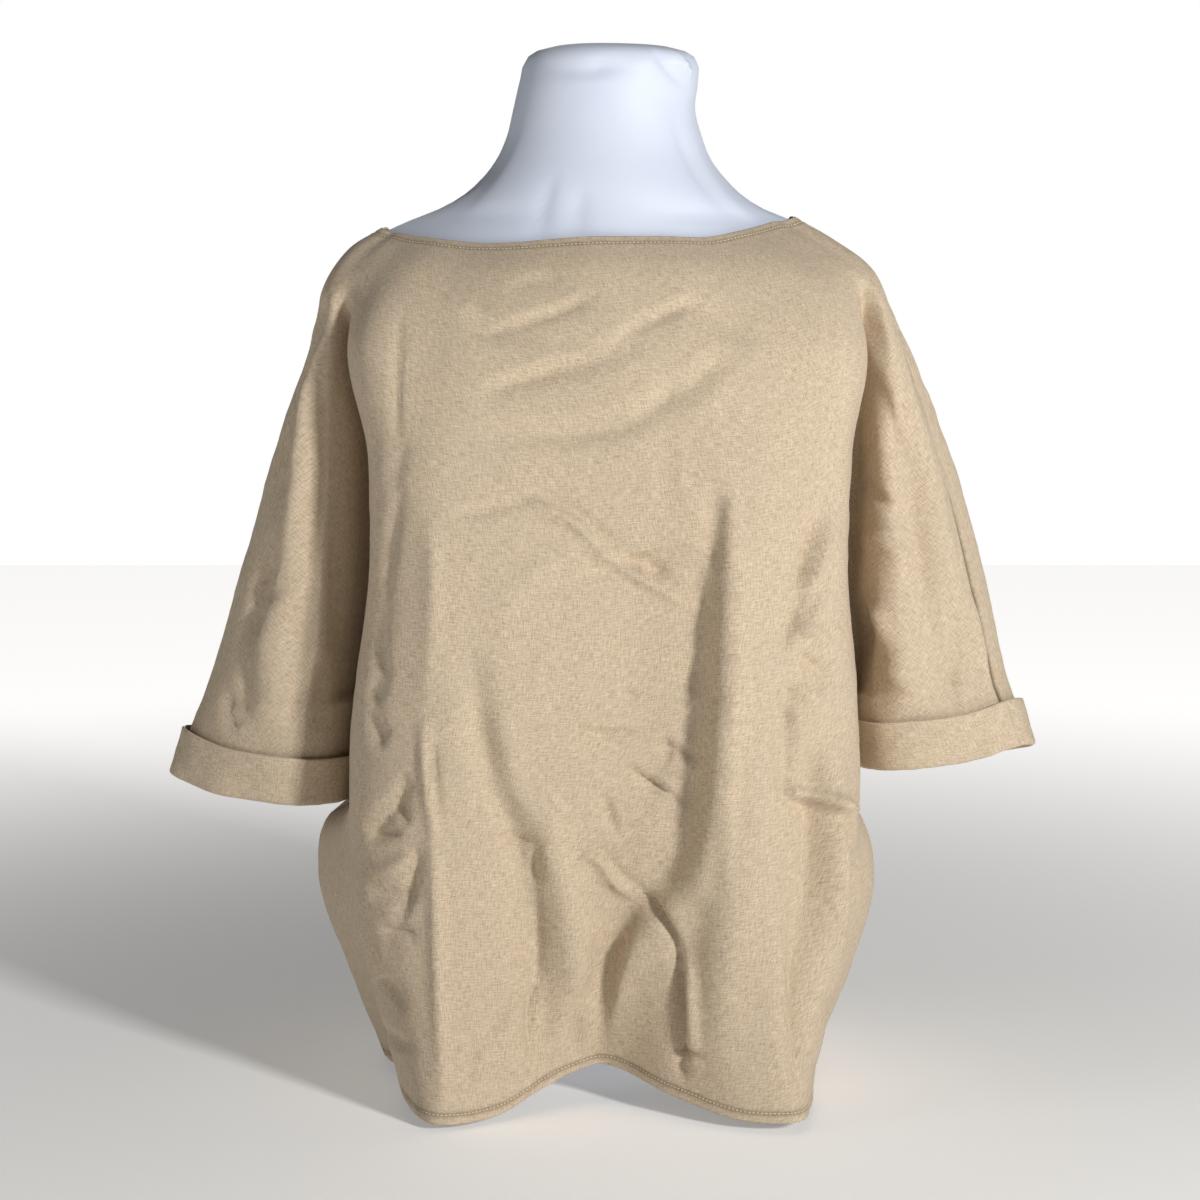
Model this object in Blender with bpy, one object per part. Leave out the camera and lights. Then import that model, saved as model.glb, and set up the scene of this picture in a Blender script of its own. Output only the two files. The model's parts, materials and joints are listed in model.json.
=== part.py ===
"""Short-sleeve blouse worn by a limbless dress form that stands on its foot.

The blouse is cut as a front and a back with the sleeves cut on, and two
turned-up cuffs.  Each is a cloth wall.  The walls follow level sections of the
worn garment: a table gives one row for each section, a smooth curve runs
through the sections from the neckline to the hem, and another runs round each
section.  Under the arms the sections part into a body and two sleeves.

X runs to the wearer's left, -Y is the front and Z is up.  The frame's origin is
the centre of the foot's flat underside.  Tables are in millimetres, with x
measured outwards from the centre line and y from the shoulder line.
"""
import math
from collections import namedtuple

import bmesh
import bpy
import numpy as np

MM = 0.001
SHOULDER_LINE_Y = -0.029      # shoulder line, in front of the foot's centre
CLOTH_WALL = 1.6 * MM
SEAM_GAP = 0.3 * MM
KEYS_PER_MM = 100             # seam points closer than this share are one point
RIGHT, LEFT = -1, 1           # the wearer's sides, as signs of X

LINEN = (0.571, 0.451, 0.305)
LINEN_ROUGHNESS = 0.9
FORM_COVER = (0.80, 0.85, 0.91)
FORM_ROUGHNESS = 0.65
SHARP_EDGE_DEG = 50

# Sections from the neckline down.  Below the underarm the sleeves part from the body.
SECTIONS = ("neck", "yoke", "shoulder", "armhole", "chest", "waist", "underarm",
            "cuff level", "below cuff", "bulge", "belly", "low", "hem")
UNDERARM = SECTIONS.index("underarm")

# Over-arm seam, the back turn beyond it, the front and back folds of the sleeve
# and the valley between sleeve and body.  The last row is the sleeve's end.
Arm = namedtuple("Arm", "seam_x seam_y seam_z turn_x turn_y fold_x fold_y "
                        "back_fold_y valley_x valley_y back_valley_y valley_z")
ARM_RIGHT = (
    Arm(157, 0, 618, 154, 5, 149, -13, 12, 143, -21, 18, 613),
    Arm(180, 1, 604, 177, 12, 167, -29, 28, 161, -36, 36, 598),
    Arm(193, 3, 588, 190, 17, 183, -36, 36, 176, -42, 42, 579),
    Arm(209, 4, 541, 205, 24, 190, -43, 43, 179, -30, 30, 545),
    Arm(236, 4, 460, 231, 30, 194, -52, 48, 165, -7, 8, 460),
    Arm(264, 4, 365, 257, 32, 196, -56, 50, 165, -4, 5, 365),
    Arm(291, 4, 280, 283, 32, 204, -55, 50, 175, -1.3, 1.3, 281),
    Arm(315, 0, 221, 306, 26, 212, -50, 43, 187, -6, -6, 203),
)
ARM_LEFT = (
    Arm(140, 0, 626, 138, 5, 131, -14, 14, 124, -21, 21, 621),
    Arm(168, 0, 610, 167, 9, 157, -28, 28, 150, -36, 36, 604),
    Arm(195, -2, 590, 195, 12, 187, -36, 36, 180, -42, 42, 583),
    Arm(214, -9, 541, 221, 8, 205, -46, 43, 187, -32, 30, 545),
    Arm(241, -20, 460, 254, 5, 206, -51, 48, 180, -7, 8, 460),
    Arm(268, -27, 365, 283, 5, 202, -54, 50, 177, -4, 5, 365),
    Arm(288, -30, 284, 302, 4, 202, -53, 50, 184, -1.3, 1.3, 285),
    Arm(305, -30, 246, 319, 2, 206, -51, 43, 187, -6, -6, 229),
)
ARM_BACK_DROP = 12            # the sleeve's end dips this far at its back fold
ARM_TURN_DROP = 4.8           # and this far at the turn behind the over-arm seam
ARM_BACK_SPREAD = 6           # its back fold stands this much farther out there

# Front of the body on one side: the edge that stands before the valley, the crest
# of the hem's lobe that runs up the front, and how full the slope inside it is.
Front = namedtuple("Front", "edge_x edge_y edge_z crest_x crest_y crest_z inner_x swell")
FRONT_RIGHT = (
    Front(134, -30, 611, 88, -57, 604.5, 56, 10),
    Front(152, -48, 593, 98, -78, 586, 62, 10),
    Front(165, -56, 574, 106, -92, 565, 66, 9),
    Front(176, -62, 541, 112, -106, 535, 68, 8),
    Front(163, -68, 460, 122, -127, 458, 70, 5),
    Front(163, -70, 368, 120, -140, 366, 72, 4),
    Front(174, -66, 290, 120, -146, 286, 66, 2),
    Front(178, -65, 239, 119, -148, 236, 62, -3),
    Front(178, -66, 205, 119, -150, 203, 61, -7),
    Front(178, -66, 182, 118, -151, 180, 60, -9),
    Front(178, -68, 154, 118, -152, 151, 60, -13),
    Front(164, -66, 90, 116, -158, 82, 62, -17),
    Front(141, -62, 14, 114, -168, 5, 70, -21),
)
FRONT_LEFT = (
    Front(115, -30, 618, 76, -57, 608.5, 44, 11),
    Front(141, -48, 600, 92, -77, 590, 56, 11),
    Front(172, -56, 578, 108, -91, 567, 62, 10),
    Front(186, -62, 541, 118, -106, 535, 70, 8),
    Front(177, -68, 460, 130, -121, 458, 88, 10),
    Front(175, -70, 368, 130, -131, 366, 94, 13),
    Front(182, -66, 290, 132, -138, 286, 95, 13),
    Front(184, -65, 239, 134, -140, 236, 95, 12),
    Front(184, -66, 205, 135, -142, 203, 94, 11),
    Front(183, -66, 182, 136, -144, 180, 92, 10),
    Front(177, -68, 154, 137, -147, 151, 90, 9),
    Front(159, -68, 88, 136, -158, 83, 92, 4),
    Front(149, -76, 7, 132, -172, 7, 104, -2),
)
# The trough between the two lobes leans from the left breast to the hem's middle.
Centre = namedtuple("Centre", "x y z")
CENTRE_FRONT = (
    Centre(-7, -74, 608), Centre(0, -95, 587), Centre(8, -107, 565),
    Centre(20, -118, 534), Centre(44, -133, 456), Centre(57, -133, 366),
    Centre(50, -132, 287), Centre(36, -129, 237), Centre(28, -129, 205),
    Centre(22, -128, 182), Centre(17, -125, 154), Centre(8, -113, 88), Centre(-3, -101, 28),
)
# Side seam of the body under each arm: cuff level to hem.
Side = namedtuple("Side", "x y z")
SIDE_RIGHT = (Side(169, 0, 238), Side(175, 0, 205), Side(203, 0, 183), Side(209, 0, 148),
              Side(188, -4, 80), Side(158, -14, 8))
SIDE_LEFT = (Side(171, 0, 238), Side(177, 0, 208), Side(194, 0, 184), Side(203, 0, 146),
             Side(188, -4, 80), Side(154, -24, 6))
# Back of the body, alike on both sides but for the neckline's shift to the right.
Back = namedtuple("Back", "edge_x edge_y edge_z ridge_x ridge_y centre_y centre_z")
BACK = (
    Back(118, 40, 625, 66, 66, 76, 630),
    Back(143, 62, 604, 76, 86, 94, 609),
    Back(162, 72, 582, 84, 100, 108, 588),
    Back(174, 80, 543, 90, 114, 119, 544),
    Back(167, 86, 460, 95, 132, 130, 460),
    Back(168, 88, 366, 98, 138, 129, 366),
    Back(174, 84, 288, 100, 143, 129, 288),
    Back(174, 80, 237, 101, 146, 130, 237),
    Back(177, 80, 205, 102, 148, 131, 205),
    Back(182, 80, 182, 102, 149, 131, 182),
    Back(186, 80, 152, 102, 151, 132, 152),
    Back(174, 78, 84, 101, 155, 134, 84),
    Back(156, 74, 9, 100, 159, 136, 12),
)
BACK_NECK_SHIFT = (-8, -4, -1)
BACK_WAVE = 9                 # depth of the small waves across the back's hem
BACK_WAVES = 2.5              # waves across the back's hem
RIDGE_HEIGHT = 0.65           # the back ridge's height, from its edge to its centre

# Shares of the way from the outer point to the inner one, across and in depth.
FOLD_RISE = 0.15
SLEEVE_ROUND = (0.36, 0.77)
LOBE_ROUND = (0.21, 0.62)
NECK_ROUND = (0.42, 0.56)     # the lobe's shares at the neckline, which is flatter
NECK_SECTIONS = 3             # sections over which they change to the lobe's own
SLOPE = {RIGHT: (0.43, 0.56), LEFT: (0.50, 0.42)}

# Wall rows in each span between sections, and columns between named points.
PANEL_ROWS = (2, 1, 2, 4, 4, 3, 3, 2, 2, 2, 3, 4)
SLEEVE_END_ROWS = 4
FRONT_COLUMNS = {"seam": 3, "turn": 2, "fold": 3, "valley": 3, "edge": 2,
                 "lobe": 2, "crest": 2, "inner": 2, "slope": 3}
BACK_COLUMNS = {"seam": 2, "turn": 2, "fold": 3, "valley": 3, "edge": 2,
                "lobe": 2, "ridge": 2, "slope": 2}

# Cuff: a band turned up over the sleeve's end.  Height up the sleeve from its
# end, and distance out from the middle of the sleeve's wall.
CuffPoint = namedtuple("CuffPoint", "up out")
CUFF_SECTION = (
    CuffPoint(5.0, -1.1), CuffPoint(-0.3, -1.1), CuffPoint(-0.3, 1.1),
    CuffPoint(12.0, 1.5), CuffPoint(33.0, 3.2), CuffPoint(33.4, 5.0),
    CuffPoint(12.0, 3.5), CuffPoint(0.0, 3.1), CuffPoint(-1.7, 2.3),
    CuffPoint(-2.2, 0.2), CuffPoint(-1.6, -1.9), CuffPoint(0.0, -2.5),
    CuffPoint(5.0, -2.5),
)

# Dress form, bottom to top: half widths on each side, where the sides' tips
# stand, how far the front and back reach, and how thin the tips are (0.5 is an
# ellipse).  The foot comes forward as two toes with an arch between them.
FOOT_TOP = 40
FOOT_ARCH = 56
FOOT_ARCH_HALF = 44           # half the arch's width, where it has faded to a third
Torso = namedtuple("Torso", "z right left tip_y front back thin")
TORSO = (
    Torso(0, 118, 118, 29, -50, 108, 0.36),
    Torso(40, 118, 118, 29, -50, 108, 0.36),
    Torso(46, 126, 126, 29, -62, 112, 0.40),
    Torso(58, 142, 141, 32, -78, 116, 0.44),
    Torso(85, 158, 156, 34, -88, 122, 0.46),
    Torso(140, 165, 163, 26, -96, 124, 0.45),
    Torso(200, 157, 158, 20, -99, 119, 0.45),
    Torso(265, 149, 151, 14, -99, 110, 0.45),
    Torso(335, 146, 148, 10, -102, 104, 0.45),
    Torso(400, 149, 153, 7, -110, 108, 0.45),
    Torso(460, 154, 160, 4, -113, 112, 0.46),
    Torso(494, 160, 166, 2, -110, 111, 0.48),
    Torso(522, 171, 176, 2, -105, 107, 0.50),
    Torso(547, 185, 189, 2, -98, 101, 0.54),
    Torso(565, 193, 197, 1, -90, 94, 0.60),
    Torso(580, 194, 197, 1, -83, 84, 0.70),
    Torso(592, 188, 189, 1, -76, 77, 0.78),
    Torso(604, 176, 173, 0, -68, 69, 0.92),
    Torso(616, 155, 154, 0, -64, 61, 1.04),
    Torso(624, 137, 138.5, 0, -62, 58, 1.06),
    Torso(632, 117, 119, 3, -60, 60, 0.72),
    Torso(643, 98, 102, 6, -58, 62, 0.56),
    Torso(654, 86, 91, 8, -55, 64, 0.52),
    Torso(667, 76, 81, 10, -51, 66, 0.50),
    Torso(684, 68, 74, 11, -47, 67, 0.50),
    Torso(704, 63, 69, 12, -45, 68, 0.50),
    Torso(725, 58, 71, 12, -44, 68, 0.50),
    Torso(738, 54, 70, 12, -41, 65, 0.50),
    Torso(744.5, 47, 63, 12, -34, 58, 0.50),
    Torso(747.5, 36, 52, 12, -23, 47, 0.50),
)
TORSO_COLUMNS = 40


def hermite(values, knots, at):
    """Smooth curve through rows of values at rising knots, read at one place."""
    values = np.asarray(values, dtype=float)
    knots = np.asarray(knots, dtype=float)
    steps = np.diff(knots)
    slopes = np.diff(values, axis=0) / steps[:, None]
    bends = np.empty_like(values)
    bends[0], bends[-1] = slopes[0], slopes[-1]
    weight = steps[1:, None] / (steps[:-1] + steps[1:])[:, None]
    bends[1:-1] = weight * slopes[:-1] + (1 - weight) * slopes[1:]
    index = min(max(int(np.searchsorted(knots, at, side="right")) - 1, 0), len(steps) - 1)
    step = steps[index]
    s = (at - knots[index]) / step
    return ((2 * s**3 - 3 * s**2 + 1) * values[index]
            + (s**3 - 2 * s**2 + s) * step * bends[index]
            + (3 * s**2 - 2 * s**3) * values[index + 1]
            + (s**3 - s**2) * step * bends[index + 1])


def section_knots(rows, columns):
    """Distance travelled from section to section along the named columns."""
    track = np.array([[getattr(row, column) for column in columns] for row in rows], float)
    return np.concatenate([[0.0], np.cumsum(np.linalg.norm(np.diff(track, axis=0), axis=1))])


def read_table(rows, columns, place):
    """A table's row at a place between sections, such as 2.5."""
    knots = section_knots(rows, columns)
    index = min(int(place), len(rows) - 2)
    at = knots[index] + (place - index) * (knots[index + 1] - knots[index])
    return type(rows[0])(*hermite(rows, knots, at))


def mixed(start, end, across, depth):
    """A point part of the way from start to end, with its height in between."""
    x = start[0] + (end[0] - start[0]) * across
    y = start[1] + (end[1] - start[1]) * depth
    z = start[2] + (end[2] - start[2]) * (across + depth) / 2
    return (x, y, z)


def arm_points(side, place):
    """Named points of a sleeve's front and back at one section."""
    row = read_table(ARM_RIGHT if side == RIGHT else ARM_LEFT, ("seam_x", "seam_z"), place)
    seam = (row.seam_x, row.seam_y, row.seam_z)
    valley = (row.valley_x, row.valley_y, row.valley_z)
    fold_z = row.valley_z + FOLD_RISE * (row.seam_z - row.valley_z)
    fold = (row.fold_x, row.fold_y, fold_z)
    turn = mixed(seam, fold, *SLEEVE_ROUND)
    below = max(0.0, place - UNDERARM)
    back_fold = (row.fold_x + ARM_BACK_SPREAD * below, row.back_fold_y,
                 fold_z - ARM_BACK_DROP * below)
    back_turn = (row.turn_x, row.turn_y, row.seam_z - ARM_TURN_DROP * below)
    back_mid = mixed(back_turn, back_fold, *SLEEVE_ROUND)
    back_valley = (row.valley_x, row.back_valley_y, row.valley_z)
    front = [seam, turn, fold, valley]
    back = [seam, back_turn, back_mid, back_fold, back_valley]
    return ([(side * x, y, z) for x, y, z in front],
            [(side * x, y, z) for x, y, z in back])


def lobe_shares(place):
    """How the body rounds its corners: flatter at the neckline, fuller below."""
    blend = min(place / NECK_SECTIONS, 1.0)
    return [top + (low - top) * blend for top, low in zip(NECK_ROUND, LOBE_ROUND)]


def front_points(side, place):
    """Named points of the body's front from its edge in to the centre."""
    row = read_table(FRONT_RIGHT if side == RIGHT else FRONT_LEFT, ("edge_x", "edge_z"), place)
    edge = (side * row.edge_x, row.edge_y, row.edge_z)
    crest = (side * row.crest_x, row.crest_y, row.crest_z)
    centre = read_table(CENTRE_FRONT, ("y", "z"), place)
    inner = (side * row.inner_x, row.crest_y - row.swell, row.crest_z)
    slope = mixed(inner, centre, *SLOPE[side])
    return [edge, mixed(edge, crest, *lobe_shares(place)), crest, inner, slope]


def back_points(side, place):
    """Named points of the body's back from its edge in to the centre."""
    row = read_table(BACK, ("edge_x", "edge_z"), place)
    shift = float(np.interp(place, range(len(BACK_NECK_SHIFT) + 1), BACK_NECK_SHIFT + (0,)))
    edge = (side * row.edge_x + shift, row.edge_y, row.edge_z)
    ridge_z = row.edge_z + (row.centre_z - row.edge_z) * RIDGE_HEIGHT
    ridge = (side * row.ridge_x + shift, row.ridge_y, ridge_z)
    centre = (shift, row.centre_y, row.centre_z)
    slope = mixed(ridge, centre, 0.5, 0.5)
    return [edge, mixed(edge, ridge, *lobe_shares(place)), ridge, slope], centre


def side_point(side, place):
    """The body's side seam below the underarm."""
    arm = (ARM_RIGHT if side == RIGHT else ARM_LEFT)[UNDERARM]
    rows = (Side(arm.valley_x, 0, arm.valley_z),) + (SIDE_RIGHT if side == RIGHT else SIDE_LEFT)
    row = read_table(rows, ("x", "z"), place - UNDERARM)
    return (side * row.x, row.y, row.z)


def round_trip(points, counts):
    """Smooth closed curve through points, with a number of steps between each two."""
    points = np.array(points, dtype=float)
    number = len(points)
    steps = np.roll(points, -1, axis=0) - points
    lengths = np.maximum(np.linalg.norm(steps, axis=1), 1e-6)
    leaving = steps / lengths[:, None]
    tangents = []
    for i in range(number):
        before, after = lengths[i - 1], lengths[i]
        tangents.append((after * leaving[i - 1] + before * leaving[i]) / (before + after))
    track = []
    for i, count in enumerate(counts):
        j = (i + 1) % number
        for step in range(count):
            s = step / count
            track.append((2 * s**3 - 3 * s**2 + 1) * points[i]
                         + (s**3 - 2 * s**2 + s) * lengths[i] * tangents[i]
                         + (3 * s**2 - 2 * s**3) * points[j]
                         + (s**3 - s**2) * lengths[i] * tangents[j])
    return np.array(track)


ARM_STEPS = ("seam", "turn", "fold")
BODY_STEPS = ("edge", "lobe", "crest", "inner", "slope")
BACK_BODY_STEPS = ("edge", "lobe", "ridge", "slope")
BACK_ARM_STEPS = ("seam", "turn", "turn", "fold")


def loop_above(place, front, back):
    """Whole section above the underarm: the front row, then the back row."""
    right_arm, right_back_arm = arm_points(RIGHT, place)
    left_arm, left_back_arm = arm_points(LEFT, place)
    centre = read_table(CENTRE_FRONT, ("y", "z"), place)
    row = right_arm + front_points(RIGHT, place) + [tuple(centre)]
    row += front_points(LEFT, place)[::-1] + left_arm[::-1]
    half = [front[n] for n in ARM_STEPS + ("valley",) + BODY_STEPS]
    counts = half + half[::-1]
    right_back, back_centre = back_points(RIGHT, place)
    left_back, _ = back_points(LEFT, place)
    back_row = left_back_arm[1:] + left_back + [back_centre] + right_back[::-1]
    back_row += right_back_arm[:0:-1]
    back_half = [back[n] for n in BACK_ARM_STEPS + ("valley",) + BACK_BODY_STEPS]
    counts += back_half + back_half[::-1]
    track = round_trip(row + back_row, counts)
    split = sum(half) * 2
    return track[:split + 1], np.vstack([track[split:], track[:1]])[::-1]


def loop_sleeve(side, place, front, back):
    """A sleeve's section below the underarm, from over-arm seam to underarm seam."""
    arm, back_arm = arm_points(side, place)
    counts = [front[n] for n in ARM_STEPS]
    back_counts = [back[n] for n in BACK_ARM_STEPS]
    track = round_trip(arm + back_arm[-2:0:-1], counts + back_counts[::-1])
    split = sum(counts)
    return track[:split + 1], np.vstack([track[split:], track[:1]])[::-1]


def loop_body(place, front, back):
    """The body's section below the underarm: front and back, right to left."""
    right_seam, left_seam = side_point(RIGHT, place), side_point(LEFT, place)
    centre = read_table(CENTRE_FRONT, ("y", "z"), place)
    row = [right_seam] + front_points(RIGHT, place) + [tuple(centre)]
    row += front_points(LEFT, place)[::-1] + [left_seam]
    half = [front[n] for n in ("valley",) + BODY_STEPS]
    right_back, back_centre = back_points(RIGHT, place)
    left_back, _ = back_points(LEFT, place)
    back_row = left_back + [back_centre] + right_back[::-1]
    back_half = [back[n] for n in ("valley",) + BACK_BODY_STEPS]
    track = round_trip(row + back_row, half + half[::-1] + back_half + back_half[::-1])
    split = sum(half) * 2
    front_row, back_row = track[:split + 1], np.vstack([track[split:], track[:1]])[::-1]
    fullness = (place - UNDERARM) / (len(SECTIONS) - 1 - UNDERARM)
    for point in back_row:
        across = (point[0] - right_seam[0]) / (left_seam[0] - right_seam[0])
        point[1] += (BACK_WAVE * fullness * math.sin(2 * math.pi * BACK_WAVES * across)
                     * math.sin(math.pi * across))
    return front_row, back_row


def places(rows, first, last):
    """Where the wall's rows lie between two sections."""
    found = [first + 0.0]
    for span in range(first, last):
        found += [span + (step + 1) / rows[span] for step in range(rows[span])]
    return found


class Panel:
    """A cloth panel as a grid of points with a slit up each side."""

    def __init__(self, upper, sleeves, body, arm_width):
        """Join the upper rows, the sleeves' rows and the body's rows."""
        self.points, self.faces, self.seams = [], [], set()
        self.sleeve_rows = {}
        above = [self.add(row) for row in upper]
        self.strip(above)
        width = len(upper[0])
        for side, rows in sleeves.items():
            grids = [self.add(row) for row in rows]
            top = above[-1][:arm_width + 1] if side == RIGHT else above[-1][:width - arm_width - 2:-1]
            grids = [top] + grids
            self.strip(grids, flip=side == LEFT)
            self.sleeve_rows[side] = grids
            self.seams.update(line[0] for line in grids)
            self.seams.update(line[-1] for line in grids[1:])
        below = [above[-1][arm_width:width - arm_width]] + [self.add(row) for row in body]
        self.strip(below)
        self.seams.update(line[0] for line in above)
        self.seams.update(line[-1] for line in above)
        self.seams.update(line[0] for line in below[1:])
        self.seams.update(line[-1] for line in below[1:])

    def add(self, row):
        """Add a row of points and return their numbers."""
        start = len(self.points)
        self.points.extend(row)
        return list(range(start, start + len(row)))

    def strip(self, lines, flip=False):
        """Fill the rows with four-sided faces."""
        for upper, lower in zip(lines, lines[1:]):
            for i in range(len(upper) - 1):
                face = (upper[i], lower[i], lower[i + 1], upper[i + 1])
                self.faces.append(face[::-1] if flip else face)


def face_normals(panel, flip):
    """Each point's summed face normals, turned to face out of the garment."""
    points = np.array(panel.points)
    sums = np.zeros_like(points)
    for face in panel.faces:
        a, b, c, d = (points[i] for i in face)
        normal = np.cross(c - a, d - b) * (-1 if flip else 1)
        for i in face:
            sums[i] += normal
    return sums


def seam_key(point):
    """A key that is the same for two panels' points on one seam."""
    return tuple(int(round(value * KEYS_PER_MM)) for value in point)


def dressed_normals(front, back):
    """Point normals of both panels, shared along the seams."""
    sums = [face_normals(front, False), face_normals(back, True)]
    shared = {}
    for panel, total in zip((front, back), sums):
        for i in panel.seams:
            key = seam_key(panel.points[i])
            shared[key] = shared.get(key, 0) + total[i]
    for panel, total in zip((front, back), sums):
        for i in panel.seams:
            total[i] = shared[seam_key(panel.points[i])]
    return [total / np.linalg.norm(total, axis=1)[:, None] for total in sums]


def seam_allowance(panel, normals):
    """Draw a panel's seam edges back by half the gap, along the cloth."""
    points = np.array(panel.points)
    inward = np.zeros_like(points)
    for face in panel.faces:
        middle = sum(points[i] for i in face) / 4
        for i in face:
            if i in panel.seams:
                inward[i] += middle - points[i]
    tangent = np.zeros_like(points)
    for face in panel.faces:
        for a, b in zip(face, face[1:] + face[:1]):
            if a in panel.seams and b in panel.seams:
                run = points[b] - points[a]
                run = run if run[2] < 0 else -run
                tangent[a] += run
                tangent[b] += run
    moved = points.copy()
    for i in panel.seams:
        along = tangent[i] / (np.linalg.norm(tangent[i]) or 1)
        step = inward[i] - normals[i] * inward[i].dot(normals[i])
        step -= along * step.dot(along)
        length = np.linalg.norm(step)
        if length > 1e-6:
            moved[i] += step / length * (SEAM_GAP / MM / 2)
    return moved


def closed_wall(points, faces, normals, wall):
    """Outer and inner skins of a wall and the strips that join their edges."""
    outer = points + normals * wall / 2
    inner = points - normals * wall / 2
    count = len(points)
    skins = [tuple(face) for face in faces]
    skins += [tuple(i + count for i in reversed(face)) for face in faces]
    used = {(a, b) for face in faces for a, b in zip(face, face[1:] + face[:1])}
    for a, b in sorted(used):
        if (b, a) not in used:
            skins.append((b, a, a + count, b + count))
    return np.vstack([outer, inner]), skins


def to_frame(points):
    """Garment millimetres to metres in the part's frame."""
    shifted = np.array(points, dtype=float) * MM
    shifted[:, 1] += SHOULDER_LINE_Y
    return shifted


def new_object(name, points, faces, material):
    """A closed, smooth-shaded object from points and faces."""
    mesh = bpy.data.meshes.new(name)
    mesh.from_pydata([tuple(p) for p in points], [], faces)
    mesh.validate()
    shape = bmesh.new()
    shape.from_mesh(mesh)
    bmesh.ops.recalc_face_normals(shape, faces=shape.faces)
    bmesh.ops.triangulate(shape, faces=shape.faces)
    shape.to_mesh(mesh)
    shape.free()
    mesh.shade_smooth()
    mesh.set_sharp_from_angle(angle=math.radians(SHARP_EDGE_DEG))
    mesh.materials.append(material)
    made = bpy.data.objects.new(name, mesh)
    bpy.context.scene.collection.objects.link(made)
    return made


def plain_material(name, colour, roughness):
    """A Principled material with one colour."""
    material = bpy.data.materials.new(name)
    material.use_nodes = True
    shader = material.node_tree.nodes["Principled BSDF"]
    shader.inputs["Base Color"].default_value = (*colour, 1)
    shader.inputs["Roughness"].default_value = roughness
    shader.inputs["Metallic"].default_value = 0.0
    return material


def garment_panels(rows, front, back):
    """The front and back panels as grids with shared seam points."""
    upper = [loop_above(p, front, back) for p in places(rows, 0, UNDERARM)]
    body = [loop_body(p, front, back) for p in places(rows, UNDERARM, len(SECTIONS) - 1)[1:]]
    arm_places = [UNDERARM + (i + 1) / SLEEVE_END_ROWS for i in range(SLEEVE_END_ROWS)]
    sleeves = {side: [loop_sleeve(side, p, front, back) for p in arm_places]
               for side in (RIGHT, LEFT)}
    panels = []
    for index, (steps, counts) in enumerate(((ARM_STEPS, front), (BACK_ARM_STEPS, back))):
        ends = {side: [pair[index] for pair in sleeves[side]] for side in (RIGHT, LEFT)}
        panels.append(Panel([pair[index] for pair in upper], ends,
                            [pair[index] for pair in body], sum(counts[n] for n in steps)))
    return panels


def make_blouse(material):
    """Front and back of the blouse with their sleeves cut on, and the two cuffs."""
    panels = garment_panels(PANEL_ROWS, FRONT_COLUMNS, BACK_COLUMNS)
    normals = dressed_normals(*panels)
    for name, panel, turned in zip(("front_panel", "back_panel"), panels, normals):
        points, faces = closed_wall(to_frame(seam_allowance(panel, turned)),
                                    panel.faces, turned, CLOTH_WALL)
        new_object(name, points, faces, material)
    make_cuff("cuff_right", RIGHT, panels, normals, material)
    make_cuff("cuff_left", LEFT, panels, normals, material)


def sleeve_ring(panels, normals, side, up):
    """Ring of points and outward directions on a sleeve, a height above its end."""
    ring, out = [], []
    for panel, turned, backwards in zip(panels, normals, (False, True)):
        columns = list(zip(*panel.sleeve_rows[side]))
        columns = columns[::-1][:-1] if backwards else columns[:-1]
        for column in columns:
            left = up
            for low, high in zip(column[::-1], column[-2::-1]):
                rise = panel.points[high] - panel.points[low]
                span = np.linalg.norm(rise)
                if left <= span or high == column[0]:
                    break
                left -= span
            share = left / span
            ring.append(panel.points[low] + rise * share)
            direction = turned[low] + (turned[high] - turned[low]) * max(share, 0)
            out.append(direction / np.linalg.norm(direction))
    return np.array(ring), np.array(out)


def make_cuff(name, side, panels, normals, material):
    """A turned-up band that closes round the sleeve's end."""
    rings = []
    for point in CUFF_SECTION:
        here, out = sleeve_ring(panels, normals, side, point.up)
        rings.append(here + out * point.out)
    width = len(rings[0])
    faces = []
    for level in range(len(rings)):
        after = (level + 1) % len(rings)
        for i in range(width):
            j = (i + 1) % width
            faces.append((level * width + i, level * width + j,
                          after * width + j, after * width + i))
    new_object(name, to_frame(np.vstack(rings)), faces, material)


def make_form(material):
    """The dress form, a smooth closed torso on a narrower foot."""
    points, faces = [], []
    for row in TORSO:
        for step in range(TORSO_COLUMNS):
            angle = 2 * math.pi * step / TORSO_COLUMNS
            reach = row.left if math.cos(angle) > 0 else row.right
            depth = abs(math.sin(angle)) ** (2 * row.thin)
            end = row.back if math.sin(angle) > 0 else row.front
            x, y = reach * math.cos(angle), row.tip_y + (end - row.tip_y) * depth
            if math.sin(angle) < 0 and row.z <= FOOT_TOP:
                y += FOOT_ARCH * math.exp(-(x / FOOT_ARCH_HALF) ** 2)
            points.append((x, y, row.z))
    for level in range(len(TORSO) - 1):
        for i in range(TORSO_COLUMNS):
            j = (i + 1) % TORSO_COLUMNS
            low, high = level * TORSO_COLUMNS, (level + 1) * TORSO_COLUMNS
            faces.append((low + i, low + j, high + j, high + i))
    last = (len(TORSO) - 1) * TORSO_COLUMNS
    faces.append(tuple(range(TORSO_COLUMNS))[::-1])
    faces.append(tuple(range(last, last + TORSO_COLUMNS)))
    new_object("dress_form", to_frame(points), faces, material)


def main():
    """Build the blouse and its form."""
    for old in list(bpy.data.objects):
        bpy.data.objects.remove(old, do_unlink=True)
    linen = plain_material("linen_cloth", LINEN, LINEN_ROUGHNESS)
    cover = plain_material("form_cover", FORM_COVER, FORM_ROUGHNESS)
    make_blouse(linen)
    make_form(cover)


main()
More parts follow.
